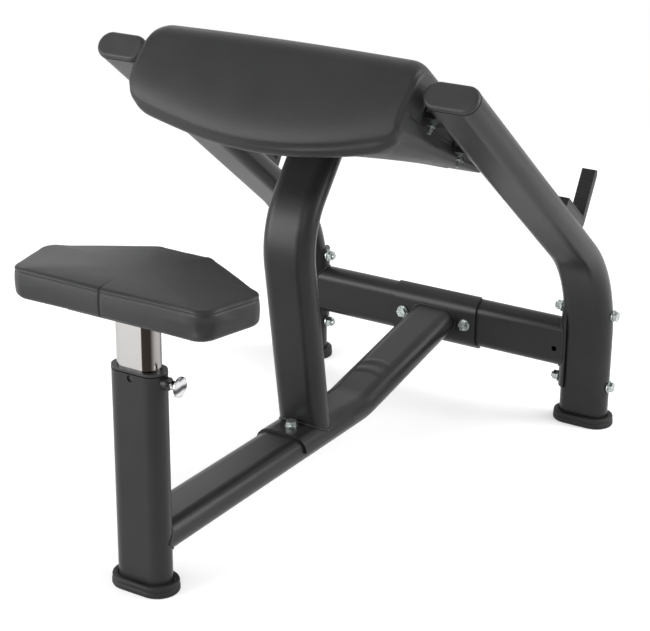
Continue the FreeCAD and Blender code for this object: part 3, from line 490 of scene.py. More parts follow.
def insetCorners(corners, insets):
    # each edge of the loops moves inwards by its own inset, and neighbouring edges meet again
    following = np.roll(corners, -1, axis=1)
    way = following - corners
    way = way / np.linalg.norm(way, axis=2, keepdims=True)
    normal = np.stack([-way[..., 1], way[..., 0]], -1)
    middle = corners.mean(1, keepdims=True)
    facing = np.sign(((middle - corners) * normal).sum(2, keepdims=True))
    base = corners + normal * facing * insets[..., None]
    lastBase, lastWay = np.roll(base, 1, axis=1), np.roll(way, 1, axis=1)
    cross = lastWay[..., 0] * way[..., 1] - lastWay[..., 1] * way[..., 0]
    gap = base - lastBase
    run = (gap[..., 0] * way[..., 1] - gap[..., 1] * way[..., 0]) / cross
    return lastBase + lastWay * run[..., None]


def fromSlope(x, down, out):
    # across, down the slope from the pad's near end and out of the slope, to the bench's frame
    up = bench["padNear"] - down
    c, s = math.cos(bench["slope"]), math.sin(bench["slope"])
    y = bench["reach"] - up * c + out * s - bench["originY"]
    z = bench["kneeHeight"] + up * s + out * c
    return np.stack([x, y, z], -1) * mm


def surfaceNormals(grid):
    # cross product of the two parameter directions of a grid that closes on itself
    around = np.roll(grid, -1, axis=1) - np.roll(grid, 1, axis=1)
    along = np.gradient(grid, axis=0)
    normal = np.cross(around, along)
    return normal / np.maximum(np.linalg.norm(normal, axis=2, keepdims=True), 1e-12)


def heldCloth(name, points, faces, holds, cloth):
    # a mesh under pressure that stays where holds is one
    mesh = bpy.data.meshes.new(name)
    mesh.from_pydata(points.tolist(), [], faces)
    made = bpy.data.objects.new(name, mesh)
    bpy.context.scene.collection.objects.link(made)
    group = made.vertex_groups.new(name="held")
    levels = np.round(holds, 2)
    for level in np.unique(levels):
        group.add(np.flatnonzero(levels == level).tolist(), float(level), "REPLACE")
    settings = made.modifiers.new("cloth", "CLOTH").settings
    settings.vertex_group_mass = "held"
    settings.use_pressure = True
    settings.uniform_pressure_force = cloth["pressure"]
    settings.tension_stiffness = cloth["stiff"]
    settings.compression_stiffness = cloth["stiff"]
    settings.bending_stiffness = cloth["bend"]
    settings.quality = cloth["quality"]
    settings.effector_weights.gravity = 0.0
    return made


def simulated(made, count, frames):
    # the mesh's points after this many frames
    scene = bpy.context.scene
    for moment in range(1, frames + 1):
        scene.frame_set(moment)
    seen = made.evaluated_get(bpy.context.evaluated_depsgraph_get())
    found = np.empty(count * 3)
    seen.data.vertices.foreach_get("co", found)
    scene.frame_set(1)
    return found.reshape(-1, 3)


def filledIn(field, kept, count):
    # values at the kept places along the first axis, filled in evenly at all the places between them
    place = np.arange(count)
    cell = np.clip(np.searchsorted(kept, place, "right") - 1, 0, len(kept) - 2)
    share = ((place - kept[cell]) / (kept[cell + 1] - kept[cell]))[:, None, None]
    return field[cell] * (1 - share) + field[cell + 1] * share


def puffed(name, grid, pinned, cloth):
    # every few rows and columns of the grid move as cloth, capped, and the whole grid follows them softly
    rows = np.unique(np.append(np.arange(0, grid.shape[0], cloth["every"]), grid.shape[0] - 1))
    columns = np.arange(0, grid.shape[1], cloth["every"])
    points = closedPoints(grid[rows][:, columns])
    holds = closedPoints(pinned[rows][:, columns, None].astype(float))[:, 0]
    made = heldCloth(name, points, closedFaces(len(rows) - 2, len(columns)), holds, cloth)
    moved = simulated(made, len(points), cloth["frames"]) - points
    bpy.data.objects.remove(made)
    length = np.linalg.norm(moved, axis=1, keepdims=True)
    limit = cloth["most"] * mm
    moved *= np.tanh(length / limit) * limit / np.maximum(length, 1e-9)
    inner = moved[1:-1].reshape(len(rows) - 2, len(columns), 3)
    start, end = (np.repeat(pole[None], len(columns), 1) for pole in (moved[:1], moved[-1:]))
    field = np.concatenate([start, inner, end])
    field = np.concatenate([field, field[:, :1]], axis=1)
    across = np.append(columns, grid.shape[1])
    field = filledIn(field.swapaxes(0, 1), across, grid.shape[1]).swapaxes(0, 1)
    field = filledIn(field, rows, grid.shape[0])
    for again in range(cloth["soften"]):
        field = (np.roll(field, 1, 1) + 2 * field + np.roll(field, -1, 1)) / 4
        field[1:-1] = (field[:-2] + 2 * field[1:-1] + field[2:]) / 4
    print(name, "moved by up to", round(float(length.max()) / mm, 1), "mm before the cap")
    return grid + field


# arm pad: loops round the pad (down the slope, out of it) at stations from its left end to its right end
armPad = {
    "half": 262.0,          # half width between the uprights
    "far": 346.0,
    "top": 63.5,
    "crown": 4.0,
    "topCorner": 34.0,      # rounding of the top at the ends, of the far side and of the underside
    "farCorner": 20.0,
    "underCorner": 14.0,
    "under": 6.8,           # underside at the far end
    "low": 149.0,           # lower edge of the near face and its crease, two parabolas across
    "lowShift": -6.0,
    "crease": 134.0,
    "creaseShift": -12.0,
    "curve": 0.00072,
    "lowCorner": 44.0,
    "lowDrop": 0.8,         # share of that corner's fall that the lower edge follows
    "face": -15.0,          # near face, before its bulge
    "lowFace": -9.0,        # at its lower edge
    "faceTuck": 13.0,       # rounding of the near face into the ends
    "ridge": 40.0,          # rounding between the near face and the top, and of the lower edge
    "rim": 13.0,
    "farRound": 14.0,
    # each pair below is where a swell starts and where it is full, out of the slope, down it or across
    "swellHigh": 12.0,      # how far the ends swell at the uprights, above and below
    "swellLow": (18.5, 3.0),  # left and right
    "swellTurn": (10.0, -58.0),
    "overOut": (24.0, 44.0),  # over the uprights
    "overDown": (330.0, 120.0),
    "noseDown": (62.0, 30.0),  # in front of them
    "lowOut": (-30.0, -52.0),  # under them
    "lowDown": (340.0, 220.0),
    "endRun": (150.0, 262.0),
    "endPuff": 5.0,
    "puffOut": (30.0, 55.0),
    "faceRun": (40.0, 4.0),  # near face above the crease, below it, and over the end panels
    "bandRun": (130.0, 10.0),
    "faceEnds": (0.07, 0.0),
    "panelBulge": 5.0,      # near face above the crease
    "panelTuck": 13.0,      # its pull inwards at the crease
    "tuckRun": 22.0,
    "stepDeep": 4.0,        # the roll of its edge over the band below
    "stepRun": 2.8,
    "bandLean": 0.2,
    "creaseDeep": 1.0,
    "creaseWide": 1.8,
    "creaseHold": 6.0,      # width of what the cloth leaves in place at the crease
    "pipeAt": 0.988,        # piping round the ends
    "pipeLift": 1.0,
    "pipeWide": 1.4,
    "pipeGroove": (0.7, 3.5, 1.3),  # depth beside its lift, way in from the piping, width
    "pipeHold": 4.0,
    "panelHold": 0.02,
    "stripAt": 0.14,        # the strip along the lower edge of the end panels
    "stripWide": 0.02,
    "stripDeep": 1.5,
    "stations": (91, 26, 22, 14),  # across, round an end, over the outer and the inner part of its panel
    "gather": 0.9,
    "panelSplit": 0.3,
    "edgeSteps": (34, 6, 34, 121),  # top, far side, underside, near face
    "arcSteps": (15, 7, 7, 9),  # ridge, far side's top and bottom, rim
    "cloth": {"every": 4, "pressure": 4.0, "stiff": 14.0, "bend": 0.6, "quality": 6,
              "frames": 20, "most": 0.6, "soften": 40},
}


def padStations(p):
    # across the pad, then round its ends and over the end panels: position and share of the end panel
    across, roundEnd, outer, inner = p["stations"]
    split = p["panelSplit"]
    middle = np.linspace(-1, 1, across)
    middle = np.sign(middle) * np.abs(middle) ** p["gather"]
    roundShare = np.linspace(0, 1, roundEnd)[1:]
    panelShare = np.concatenate([np.linspace(0, split, outer), np.linspace(split, 1, inner)[1:]])[1:]
    flat = p["half"] - p["lowCorner"]
    curve = flat + p["lowCorner"] * np.sin(roundShare * math.pi / 2)
    ends = np.full(len(panelShare), p["half"])
    x = np.concatenate([-ends, -curve[::-1], middle * flat, curve, ends])
    panel = np.concatenate([panelShare[::-1], np.zeros(len(x) - 2 * len(panelShare)), panelShare])
    return x, panel


def fall(x, half, radius):
    # how far a quarter round of this radius has dropped at x
    over = np.clip(np.abs(x) - (half - radius), 0, radius)
    return radius - np.sqrt(radius * radius - over * over)


def armPadGrid(p):
    x, panel = padStations(p)
    top = p["top"] - p["crown"] + p["crown"] * (1 - (x / p["half"]) ** 2)
    depth = p["low"] - p["curve"] * (x - p["lowShift"]) ** 2
    crease = p["curve"] * (x - p["creaseShift"]) ** 2 - p["crease"]
    ones = np.ones_like(x)
    corners = np.stack([
        np.stack([p["face"] * ones, top], -1),
        np.stack([p["far"] * ones, top], -1),
        np.stack([p["far"] * ones, p["under"] * ones], -1),
        np.stack([p["lowFace"] * ones, -depth], -1),
    ], axis=1)
    rounds = (p["topCorner"], p["farCorner"], p["underCorner"], p["faceTuck"])
    insets = [fall(x, p["half"], radius) for radius in rounds]
    corners = insetCorners(corners, np.stack(insets, axis=1))
    corners[:, 3, 1] += fall(x, p["half"], p["lowCorner"]) * p["lowDrop"]
    radii = [p[name] * ones for name in ("ridge", "farRound", "farRound", "rim")]
    edges = [np.linspace(0, 1, steps)[1:-1] for steps in p["edgeSteps"]]
    return x, panel, crease, roundedLoop(corners, np.stack(radii, axis=1), edges, p["arcSteps"])


def padFace(p, panel, crease, down, out):
    # how far the near face stands out: a parabola from the crease to the top, pulled in at the crease,
    # where its edge rolls over the band below, which leans back
    lift = out - crease[:, None]
    front = np.where(lift > 0, easeStep(*p["faceRun"], down), easeStep(*p["bandRun"], down))
    front = front * easeStep(*p["faceEnds"], panel)[:, None]
    share = np.clip(lift / (p["top"] - crease)[:, None], 0, 1)
    bulge = 4 * p["panelBulge"] * share * (1 - share)
    above, below = np.maximum(lift, 0), np.maximum(-lift, 0)
    tuck = p["panelTuck"] * np.exp(-above / p["tuckRun"]) + p["stepDeep"] * np.exp(-above / p["stepRun"])
    tuck = tuck + p["bandLean"] * below
    groove = p["creaseDeep"] * bell(lift, p["creaseWide"])
    return front * (bulge - tuck - groove), front * bell(lift, p["creaseHold"])


def padEnds(p, x, panel, down, out):
    # how far the ends swell over the uprights, in front of them and under them: one minus the product of
    # what each leaves
    over = easeStep(*p["overOut"], out) * easeStep(*p["overDown"], down)
    nose = easeStep(*p["noseDown"], down)
    low = easeStep(*p["lowOut"], out) * easeStep(*p["lowDown"], down)
    lowSwell = np.where(x < 0, *p["swellLow"])[:, None]
    swell = p["swellHigh"] + (lowSwell - p["swellHigh"]) * easeStep(*p["swellTurn"], out)
    swell = swell * (1 - (1 - over) * (1 - nose) * (1 - low))
    puff = p["endPuff"] * np.sin(panel * math.pi / 2)[:, None] * easeStep(*p["puffOut"], out)
    edge = easeStep(*p["endRun"], np.abs(x))[:, None] * np.sign(x)[:, None]
    return edge * (swell + puff)


def armPadSurface(p):
    x, panel, crease, loops = armPadGrid(p)
    # end panels: the last loop shrinks towards its middle
    middle = loops.mean(1, keepdims=True)
    loops = middle + (loops - middle) * (1 - panel)[:, None, None]
    down, out = loops[..., 0], loops[..., 1]
    stand, onCrease = padFace(p, panel, crease, down, out)
    down = down - stand
    across = x[:, None] + padEnds(p, x, panel, down, out)
    return fromSlope(across, down, out), x, panel, onCrease


def makeArmPad(p):
    grid, x, panel, onCrease = armPadSurface(p)
    onPipe = np.abs(x) - p["pipeAt"] * p["half"]
    # the grid's faces look inwards here, so the pressure draws the cover in
    seam = (panel < p["panelHold"]) & (np.abs(onPipe) < p["pipeHold"])
    held = np.maximum(onCrease > 0.5, seam[:, None])
    grid = puffed("armPadCloth", grid, held, p["cloth"])
    normal = surfaceNormals(grid)
    normal = normal * np.sign((grid * normal).sum())
    deep, inside, wide = p["pipeGroove"]
    pipe = bell(onPipe, p["pipeWide"]) - deep * bell(onPipe + inside, wide)
    # columns of the underside and the rim
    inner = [steps - 2 for steps in p["edgeSteps"]]
    first = sum(p["arcSteps"][:3]) + sum(inner[:2])
    lowEdge = np.zeros(grid.shape[1])
    lowEdge[first:first + inner[2] + p["arcSteps"][3]] = 1.0
    strip = bell(panel - p["stripAt"], p["stripWide"])[:, None] * lowEdge
    raised = (pipe * p["pipeLift"] * (panel == 0))[:, None] - strip * p["stripDeep"]
    # stations from right to left, so that the faces look outwards
    grid = (grid + normal * raised[..., None] * mm)[::-1]
    faces = closedFaces(grid.shape[0] - 2, grid.shape[1])
    made = meshPiece("armPadCushion", closedPoints(grid), faces, "vinyl", "frame")
    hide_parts("arm_pad")


makeArmPad(armPad)
print("arm pad made")


# seat: rings of the outline from the underside's middle, up the side, to the middle of the top
seatPad = {
    "corners": [(-187.0, -80.0), (187.0, -80.0), (213.0, 34.0),
                (52.0, 132.0), (-52.0, 132.0), (-213.0, 34.0)],
    "radii": [28.0, 28.0, 28.0, 34.0, 34.0, 28.0],
    "middle": (0.0, 18.0),
    "lowRound": 7.0,
    "topRound": 5.0,
    "sideBulge": 2.0,
    "crown": 5.5,
    "crownPower": 2.2,
    "beadDrop": 7.5,        # the sewn bead under the top edge, and the roll above it
    "beadDeep": 1.3,
    "beadWide": 1.2,
    "rollUp": 3.2,
    "rollLift": 0.8,
    "rollWide": 1.6,
    "seamAt": -12.0,
    "seamDeep": 2.0,
    "seamWide": 1.6,
    "seamGather": (0.022, 23),  # columns at the seam: share of the near edge to each side, and their number
    "nearEdge": -70.0,
    "pucker": 4.2,          # pinch of the near right corner
    "puckerAt": (180.0, -72.0),
    "puckerReach": 15.0,
    # half way up, with lips standing out above and below: share of the height, its width, depth
    "pinches": [(0.5, 0.2, 1.0), (0.8, 0.09, -0.5), (0.15, 0.1, -0.5)],
    "topHold": 0.3,         # row of the rounded top edge that the cloth leaves in place
    "edgeSteps": (50, 26, 34, 22, 34, 26),
    "arcSteps": 17,
    "bottomRows": 11,
    "roundRows": 7,
    "sideRows": 38,
    "topRows": 25,
    "cloth": {"every": 3, "pressure": 4.0, "stiff": 14.0, "bend": 0.6, "quality": 6,
              "frames": 20, "most": 3.0, "soften": 6},
}


def seatOutline(p):
    corners = np.array(p["corners"])[None]
    edges = [np.linspace(0, 1, steps)[1:-1] for steps in p["edgeSteps"]]
    straight = p["corners"][1][0] - p["radii"][1]
    seamShare = 0.5 + p["seamAt"] / (2 * straight)
    spread, count = p["seamGather"]
    edges[0] = np.unique(np.append(edges[0], seamShare + np.linspace(-spread, spread, count)))
    arcs = [p["arcSteps"]] * len(p["corners"])
    return roundedLoop(corners, np.array(p["radii"])[None], edges, arcs)[0]


def seatSurface(p):
    outline = seatOutline(p)
    low = bench["seatTop"] - bench["seatThick"]
    top = bench["seatTop"]
    bottom = np.ones(p["bottomRows"])
    bend = np.linspace(0, math.pi / 2, p["roundRows"])
    rise = np.linspace(low + p["lowRound"], top - p["topRound"], p["sideRows"] + 2)[1:-1]
    z = np.concatenate([low * bottom, low + p["lowRound"] * (1 - np.cos(bend)), rise,
                        top - p["topRound"] * (1 - np.sin(bend))])
    inset = np.concatenate([p["lowRound"] * bottom, p["lowRound"] * (1 - np.sin(bend)),
                            np.zeros(len(rise)), p["topRound"] * (1 - np.cos(bend))])
    bottomShare = np.linspace(0, 1, len(bottom), endpoint=False)
    share = np.concatenate([bottomShare, np.ones(len(z) - len(bottom))])
    height = np.clip((z - low) / (top - low), 0, 1)
    inset = inset - p["sideBulge"] * np.sin(height * math.pi) * (share == 1)
    topShare = np.linspace(1, 0, p["topRows"] + 1)[1:]
    middle = np.array(p["middle"])
    spoke = outline - middle
    away = spoke / np.linalg.norm(spoke, axis=1, keepdims=True)
    flat = middle + spoke[None] * share[:, None, None] - away[None] * (inset * share)[:, None, None]
    crowned = middle + (spoke - away * p["topRound"])[None] * topShare[:, None, None]
    flat = np.concatenate([flat, crowned])
    z = np.concatenate([z, top + p["crown"] * (1 - topShare ** p["crownPower"])])
    grid = np.concatenate([flat, np.broadcast_to(z[:, None, None], (*flat.shape[:2], 1))], axis=2)
    onSide = np.zeros(len(z))
    onSide[len(bottom):len(z) - len(topShare)] = 1.0
    return (grid - np.array([0, bench["originY"], 0])) * mm, outline, z, onSide


def seatDents(p, outline, drop, onSide):
    # how far the bead, the seam and the pinched corner lie in, by row and column
    bead = (bell(drop - p["beadDrop"], p["beadWide"]) * p["beadDeep"]
            - bell(drop - p["beadDrop"] + p["rollUp"], p["rollWide"]) * p["rollLift"]) * onSide
    seam = bell(outline[:, 0] - p["seamAt"], p["seamWide"]) * (outline[:, 1] < p["nearEdge"])
    fromCorner = np.hypot(outline[:, 0] - p["puckerAt"][0], outline[:, 1] - p["puckerAt"][1])
    corner = bell(fromCorner, p["puckerReach"])
    height = 1 - drop / bench["seatThick"]
    pinch = sum(deep * bell(height - level, wide) for level, wide, deep in p["pinches"])
    dent = bead[:, None] + p["seamDeep"] * onSide[:, None] * seam[None]
    return dent + p["pucker"] * (pinch * onSide)[:, None] * corner[None]


def makeSeat(p):
    grid, outline, z, onSide = seatSurface(p)
    drop = bench["seatTop"] - z
    side = np.flatnonzero(onSide)
    held = np.zeros(grid.shape[:2])
    held[:p["bottomRows"] + 1] = 1.0
    for level in (p["beadDrop"], p["topHold"] * p["topRound"]):
        held[side[np.argmin(np.abs(drop[side] - level))]] = 1.0
    grid = puffed("seatCloth", grid, held, p["cloth"])
    normal = surfaceNormals(grid)
    ring = side[len(side) // 2]
    spoke = grid[ring, :, :2] - grid[ring, :, :2].mean(0)
    normal = normal * np.sign((normal[ring, :, :2] * spoke).sum())
    grid = grid - normal * seatDents(p, outline, drop, onSide)[..., None] * mm
    faces = closedFaces(grid.shape[0] - 2, grid.shape[1])
    made = meshPiece("seatCushion", closedPoints(grid), faces, "vinyl", "seat")
    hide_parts("seat_pad")


makeSeat(seatPad)
print("seat made")


def ovalPath(wide, deep, steps):
    # outline of a flat oval: straight sides and half rounds, evenly stepped along its length
    flat, radius = (wide - deep) / 2, deep / 2
    run = np.arange(steps) / steps * (4 * flat + 2 * math.pi * radius)
    turn = math.pi * radius
    first, second, third = 2 * flat, 2 * flat + turn, 4 * flat + turn
    bendRight = (run - first) / radius - math.pi / 2
    bendLeft = (run - third) / radius + math.pi / 2
    places = [run < first, run < second, run < third]
    u = np.select(places, [run - flat, flat + radius * np.cos(bendRight), flat + second - run],
                  -flat + radius * np.cos(bendLeft))
    wall = np.full_like(run, radius)
    v = np.select(places, [-wall, radius * np.sin(bendRight), wall], radius * np.sin(bendLeft))
    return u, v


# rubber feet: one profile, its offset from the tube's wall and its height, swept round the flat oval
rubberFoot = {
    "profile": [(9.5, 0.0), (11.0, 0.6), (11.6, 2.0), (11.6, 8.0), (10.9, 9.2), (9.9, 9.8), (10.4, 10.6),
                (10.9, 11.6), (10.9, 16.6), (10.0, 18.8), (8.2, 20.0), (2.4, 19.6), (0.3, 18.8), (0.3, 6.0)],
    "steps": 96,
    "places": {
        "seat_post_foot": (0.0, 0.0),
        "upright_foot_left": (-bench["halfSpread"], bench["reach"]),
        "upright_foot_right": (bench["halfSpread"], bench["reach"]),
    },
}


def makeFeet(p):
    for node, (x, y) in p["places"].items():
        rings = []
        for offset, z in p["profile"]:
            u, v = ovalPath(bench["tubeWide"] + 2 * offset, bench["tubeDeep"] + 2 * offset, p["steps"])
            rings.append(np.stack([x + u, y + v - bench["originY"], np.full_like(u, z)], -1))
        grid = np.array(rings[:1] + rings + rings[-1:]) * mm
        faces = closedFaces(len(rings), p["steps"])
        name = "".join(word.capitalize() for word in node.split("_"))
        made = meshPiece("moulded" + name, closedPoints(grid), faces, "foot_rubber", "frame")
        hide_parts(node)


makeFeet(rubberFoot)
print("feet made")

# weld beads: a rippled tube along the line where one flat-oval tube meets a curved face
weldBead = {
    "radius": 2.4,
    "ripple": 0.14,
    "pitch": 5.0,
    "steps": 220,
    "round": 10,
}


def beamRise():
    # slope of the base beam from its bend to the crossbeam's saddle
    run = bench["reach"] - bench["saddle"] - bench["bendReach"]
    return (bench["crossHeight"] - bench["beamHeight"]) / run


def weldPaths(p):
    wide, deep, saddle = bench["tubeWide"], bench["tubeDeep"], bench["saddle"]
    flat, radius = (wide - deep) / 2, deep / 2
    u, v = ovalPath(wide, deep, p["steps"])
    past = np.clip(np.abs(u) - flat, 0, radius)
    paths = {"weldSeatPost": np.stack([u, np.sqrt(radius ** 2 - past ** 2), bench["beamHeight"] + v], -1)}
    height = np.sqrt(saddle ** 2 - past ** 2)
    lean = math.tan(bench["postLean"])
    along = bench["postReach"] + v / math.cos(bench["postLean"]) - height * lean
    paths["weldCentrePost"] = np.stack([u, along, bench["beamHeight"] + height], -1)
    face = np.full_like(u, bench["reach"] - saddle)
    paths["weldCrossBeam"] = np.stack([u, face, bench["crossHeight"] + v * math.hypot(1, beamRise())], -1)
    for name, side in (("weldLeftEnd", -1), ("weldRightEnd", 1)):
        x = side * (bench["halfSpread"] - flat - np.sqrt(saddle ** 2 - v ** 2))
        paths[name] = np.stack([x, bench["reach"] + v, bench["crossHeight"] + u], -1)
    return paths


def makeWelds(p):
    angle = np.linspace(0, 2 * math.pi, p["round"], endpoint=False)[None, :, None]
    for name, path in weldPaths(p).items():
        path = path - np.array([0, bench["originY"], 0])
        ahead = np.roll(path, -1, 0) - np.roll(path, 1, 0)
        ahead /= np.linalg.norm(ahead, axis=1, keepdims=True)
        outward = path - path.mean(0)
        outward -= ahead * (outward * ahead).sum(1, keepdims=True)
        outward /= np.linalg.norm(outward, axis=1, keepdims=True)
        sideways = np.cross(ahead, outward)
        run = np.append(0, np.cumsum(np.linalg.norm(np.diff(path, axis=0), axis=1)))
        thick = p["radius"] * (1 + p["ripple"] * np.sin(2 * math.pi * run / p["pitch"]))
        spoke = np.cos(angle) * outward[:, None] + np.sin(angle) * sideways[:, None]
        grid = (path[:, None] + spoke * thick[:, None, None]) * mm
        faces = ringFaces(*grid.shape[:2])
        meshPiece(name, grid.reshape(-1, 3), faces, "black_paint", "frame")


makeWelds(weldBead)
print("welds made")

# ripples where the base beam was bent: a closed patch on the beam's slanted top
bendRipple = {
    "at": 734.0,            # the valley between the two crests, from the seat post
    "pitch": 30.0,
    "bow": 0.011,           # crests curve back towards the seat at the beam's sides
    "high": 1.5,
    "flat": (17.0, 31.0),   # full height within the first, none beyond the second, along the beam
    "side": (20.0, 37.0),   # and across it
    "lift": 0.12,
    "sunk": 0.15,           # the rim lies under the beam's surface
    "thick": 1.5,
    "margin": 1.0,
    "steps": (121, 61),
}


def makeBendRipples(p):
    # height over the beam's top: one minus a cosine along the beam, bowed by the square of the way across,
    # inside a soft window
    rows, columns = p["steps"]
    reach, half = p["flat"][1] + p["margin"], p["side"][1] + p["margin"]
    along, x = np.meshgrid(np.linspace(-reach, reach, rows), np.linspace(-half, half, columns),
                           indexing="ij")
    y = p["at"] + along - p["bow"] * x * x
    window = easeStep(*p["flat"][::-1], np.abs(along)) * easeStep(*p["side"][::-1], np.abs(x))
    wave = p["lift"] + p["high"] * (1 - np.cos(2 * math.pi * along / p["pitch"])) / 2
    rise = beamRise()
    radius = bench["tubeDeep"] / 2
    past = np.clip(np.abs(x) - (bench["tubeWide"] / 2 - radius), 0, radius)
    top = bench["beamHeight"] + rise * (y - bench["bendReach"])
    top = top + np.sqrt(radius ** 2 - past ** 2) * math.hypot(1, rise)
    upper = np.stack([x, y - bench["originY"], top + window * (wave + p["sunk"]) - p["sunk"]], -1)
    lower = np.stack([x, y - bench["originY"], top - p["thick"]], -1)
    grid = np.concatenate([upper, lower[:, ::-1]], axis=1) * mm
    faces = closedFaces(rows - 2, 2 * columns)
    meshPiece("bendRipples", closedPoints(grid), faces, "black_paint", "frame")


makeBendRipples(bendRipple)
print("bend ripples made")

# parting lines: a thin near-black ring round the tube where its plastic end starts, painted shade of the gap
# at the joint
partingLine = {
    "proud": 0.35,
    "sunk": 1.0,
    "half": 0.8,
    "steps": 120,
}


def makePartingLine(name, node, middle, along, p):
    # rings of the flat oval just proud of the tube, square to it at the end of the given node's tube
    along = np.array(along, float)
    points = np.empty(len(nodes[node].data.vertices) * 3)
    nodes[node].data.vertices.foreach_get("co", points)
    end = (points.reshape(-1, 3) @ along).max() / mm
    across = np.array([1.0, 0.0, 0.0])
    deep = np.cross(along, across)
    middle = np.array(middle, float)
    middle = middle + along * (end - middle @ along)
    rings = []
    for offset, level in ((-p["sunk"], -1), (p["proud"], -1), (p["proud"], 1), (-p["sunk"], 1)):
        u, v = ovalPath(bench["tubeWide"] + 2 * offset, bench["tubeDeep"] + 2 * offset, p["steps"])
        rings.append(middle + u[:, None] * across + v[:, None] * deep + along * level * p["half"])
    grid = np.array(rings) * mm
    faces = ringFaces(len(rings), p["steps"])
    # the ring carries the painted shade of the joint's gap
    meshPiece(name, grid.reshape(-1, 3), faces, "gap", "frame", False)


upSlope = (0.0, -math.cos(bench["slope"]), math.sin(bench["slope"]))
kneeY = bench["reach"] - bench["originY"]
makePartingLine("bushLine", "seat_post", (0.0, -bench["originY"], 0.0), (0.0, 0.0, 1.0), partingLine)
for side, sign in (("left", -1), ("right", 1)):
    knee = (sign * bench["halfSpread"], kneeY, bench["kneeHeight"])
    makePartingLine("capLine" + side.capitalize(), "upright_" + side, knee, upSlope, partingLine)
print("parting lines made")


# floor, light and camera
stage = {
    "floorHalf": 14.0,
    "floorDrop": 0.0005,
    "floorPaper": 0.8,      # share of light the floor sends back
    "floorGlow": 0.36,      # what makes it white where it is seen
    "paperEnd": (1.6, 3.2),  # beyond this the floor is plain white
    "worldLight": 0.6,
    "lamps": [
        # name, place, target, width and height, watts
        ("leftSoftbox", (-2.2, -2.9, 1.0), (0.0, -0.1, 0.45), (3.8, 1.9), 150.0),
        ("rightSoftbox", (1.8, 0.7, 0.9), (0.3, 0.5, 0.4), (0.9, 0.9), 16.0),
        ("rightBackSoftbox", (2.4, 1.8, 2.2), (0.1, 0.1, 0.5), (1.6, 1.6), 55.0),
        ("leftBackSoftbox", (-2.4, 2.2, 1.9), (0.0, 0.1, 0.5), (1.6, 1.6), 6.0),
        ("frontFill", (1.2, -3.4, 1.8), (0.0, -0.2, 0.4), (1.5, 1.5), 14.0),
    ],
}


def seenRays(tree):
    # one for what the camera sees, itself or in a mirror, and zero for the light that falls on things
    path = tree.nodes.new("ShaderNodeLightPath")
    camera, glossy, through = (Wire(tree, path.outputs[f"Is {kind} Ray"])
                               for kind in ("Camera", "Glossy", "Transmission"))
    return camera + glossy + through


def makeFloor(p):
    marks = np.linspace(-p["floorHalf"], p["floorHalf"], 3)
    u, v = np.meshgrid(marks, marks, indexing="ij")
    points = np.stack([u, v, np.full_like(u, -p["floorDrop"])], -1).reshape(-1, 3)
    faces = [[i + j, i + 3 + j, i + 4 + j, i + 1 + j] for i in (0, 3) for j in (0, 1)]
    mesh = bpy.data.meshes.new("floor")
    mesh.from_pydata(points.tolist(), [], faces)
    made = bpy.data.objects.new("floor", mesh)
    bpy.context.scene.collection.objects.link(made)
    look = bpy.data.materials.new("paleFloor")
    look.use_nodes = True
    tree = look.node_tree
    tree.nodes.clear()
    seen = seenRays(tree)
    place = Wire(tree, tree.nodes.new("ShaderNodeTexCoord").outputs["Object"])
    away = place.through("ShaderNodeVectorMath", {"operation": "LENGTH"}, {0: place}, 1)
    far = away.between(*p["paperEnd"])
    grey = p["floorPaper"]
    paper = seen.through("ShaderNodeBsdfDiffuse", {}, {"Color": (grey, grey, grey, 1)})
    glow = seen.through("ShaderNodeEmission", {}, {"Strength": seen * p["floorGlow"]})
    near = seen.through("ShaderNodeAddShader", {}, {0: paper, 1: glow})
    white = seen.through("ShaderNodeEmission", {}, {"Strength": seen})
    both = seen.through("ShaderNodeMixShader", {}, {0: far, 1: near, 2: white})
    end = tree.nodes.new("ShaderNodeOutputMaterial")
    tree.links.new(both.socket, end.inputs["Surface"])
    mesh.materials.append(look)


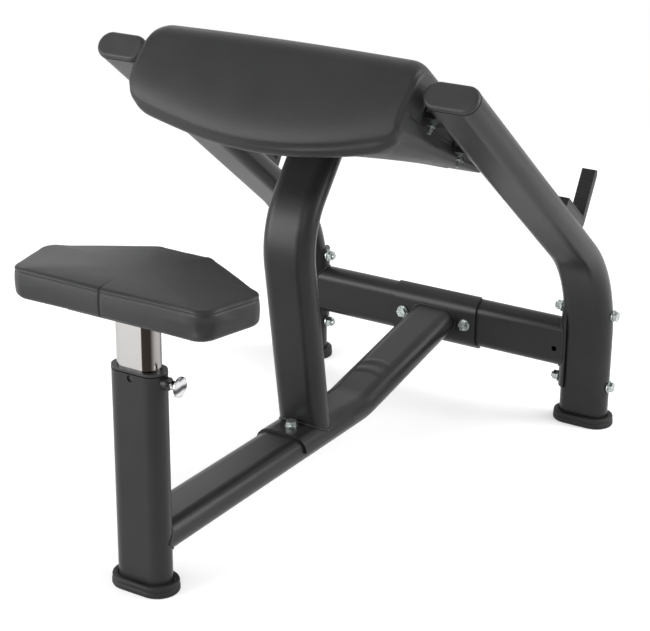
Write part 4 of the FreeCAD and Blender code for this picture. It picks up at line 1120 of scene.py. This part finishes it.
def makeWorld(p):
    world = bpy.data.worlds.new("studio")
    bpy.context.scene.world = world
    world.use_nodes = True
    tree = world.node_tree
    tree.nodes.clear()
    seen = seenRays(tree)
    plain = seen.through("ShaderNodeBackground", {}, {"Color": (1, 1, 1, 1), "Strength": p["worldLight"]})
    white = seen.through("ShaderNodeBackground", {}, {"Color": (1, 1, 1, 1), "Strength": 1.0})
    mixed = seen.through("ShaderNodeMixShader", {}, {0: seen, 1: plain, 2: white})
    end = tree.nodes.new("ShaderNodeOutputWorld")
    tree.links.new(mixed.socket, end.inputs["Surface"])


def placed(place, right, up, ahead):
    turn = Matrix(np.stack([right, up, -ahead], axis=1).tolist()).to_4x4()
    return Matrix.Translation(place) @ turn


def lookAt(place, target):
    ahead = np.array(target, float) - np.array(place, float)
    ahead /= np.linalg.norm(ahead)
    right = np.cross(ahead, (0, 0, 1))
    right /= np.linalg.norm(right)
    return placed(place, right, np.cross(right, ahead), ahead)


def makeLamps(p):
    for name, place, target, size, watts in p["lamps"]:
        lamp = bpy.data.lights.new(name, "AREA")
        lamp.shape = "RECTANGLE"
        lamp.size, lamp.size_y = size
        lamp.energy = watts
        made = bpy.data.objects.new(name, lamp)
        made.matrix_world = lookAt(place, target)
        bpy.context.scene.collection.objects.link(made)


photoCamera = {
    "focalPixels": 1796.0,
    "yaw": math.radians(31.97),
    "pitch": math.radians(21.12),
    "roll": math.radians(0.47),
    "place": (1630.6, -2061.1 - bench["originY"], 1488.5),
    "imageWide": 650,
    "sensorWide": 36.0,
    "clipEnd": 100.0,
}


def makeCamera(p):
    yaw, pitch, roll = p["yaw"], p["pitch"], p["roll"]
    ahead = np.array([-math.sin(yaw) * math.cos(pitch), math.cos(yaw) * math.cos(pitch), -math.sin(pitch)])
    level = np.array([math.cos(yaw), math.sin(yaw), 0.0])
    rise = np.cross(level, ahead)
    right = math.cos(roll) * level + math.sin(roll) * rise
    up = -math.sin(roll) * level + math.cos(roll) * rise
    lens = bpy.data.cameras.new("photoCamera")
    lens.sensor_fit = "HORIZONTAL"
    lens.sensor_width = p["sensorWide"]
    lens.lens = p["focalPixels"] * p["sensorWide"] / p["imageWide"]
    lens.clip_end = p["clipEnd"]
    made = bpy.data.objects.new("photoCamera", lens)
    made.matrix_world = placed([v * mm for v in p["place"]], right, up, ahead)
    bpy.context.scene.collection.objects.link(made)
    bpy.context.scene.camera = made


makeFloor(stage)
makeWorld(stage)
makeLamps(stage)
makeCamera(photoCamera)
bpy.context.scene.view_settings.view_transform = "Standard"
print("stage set")
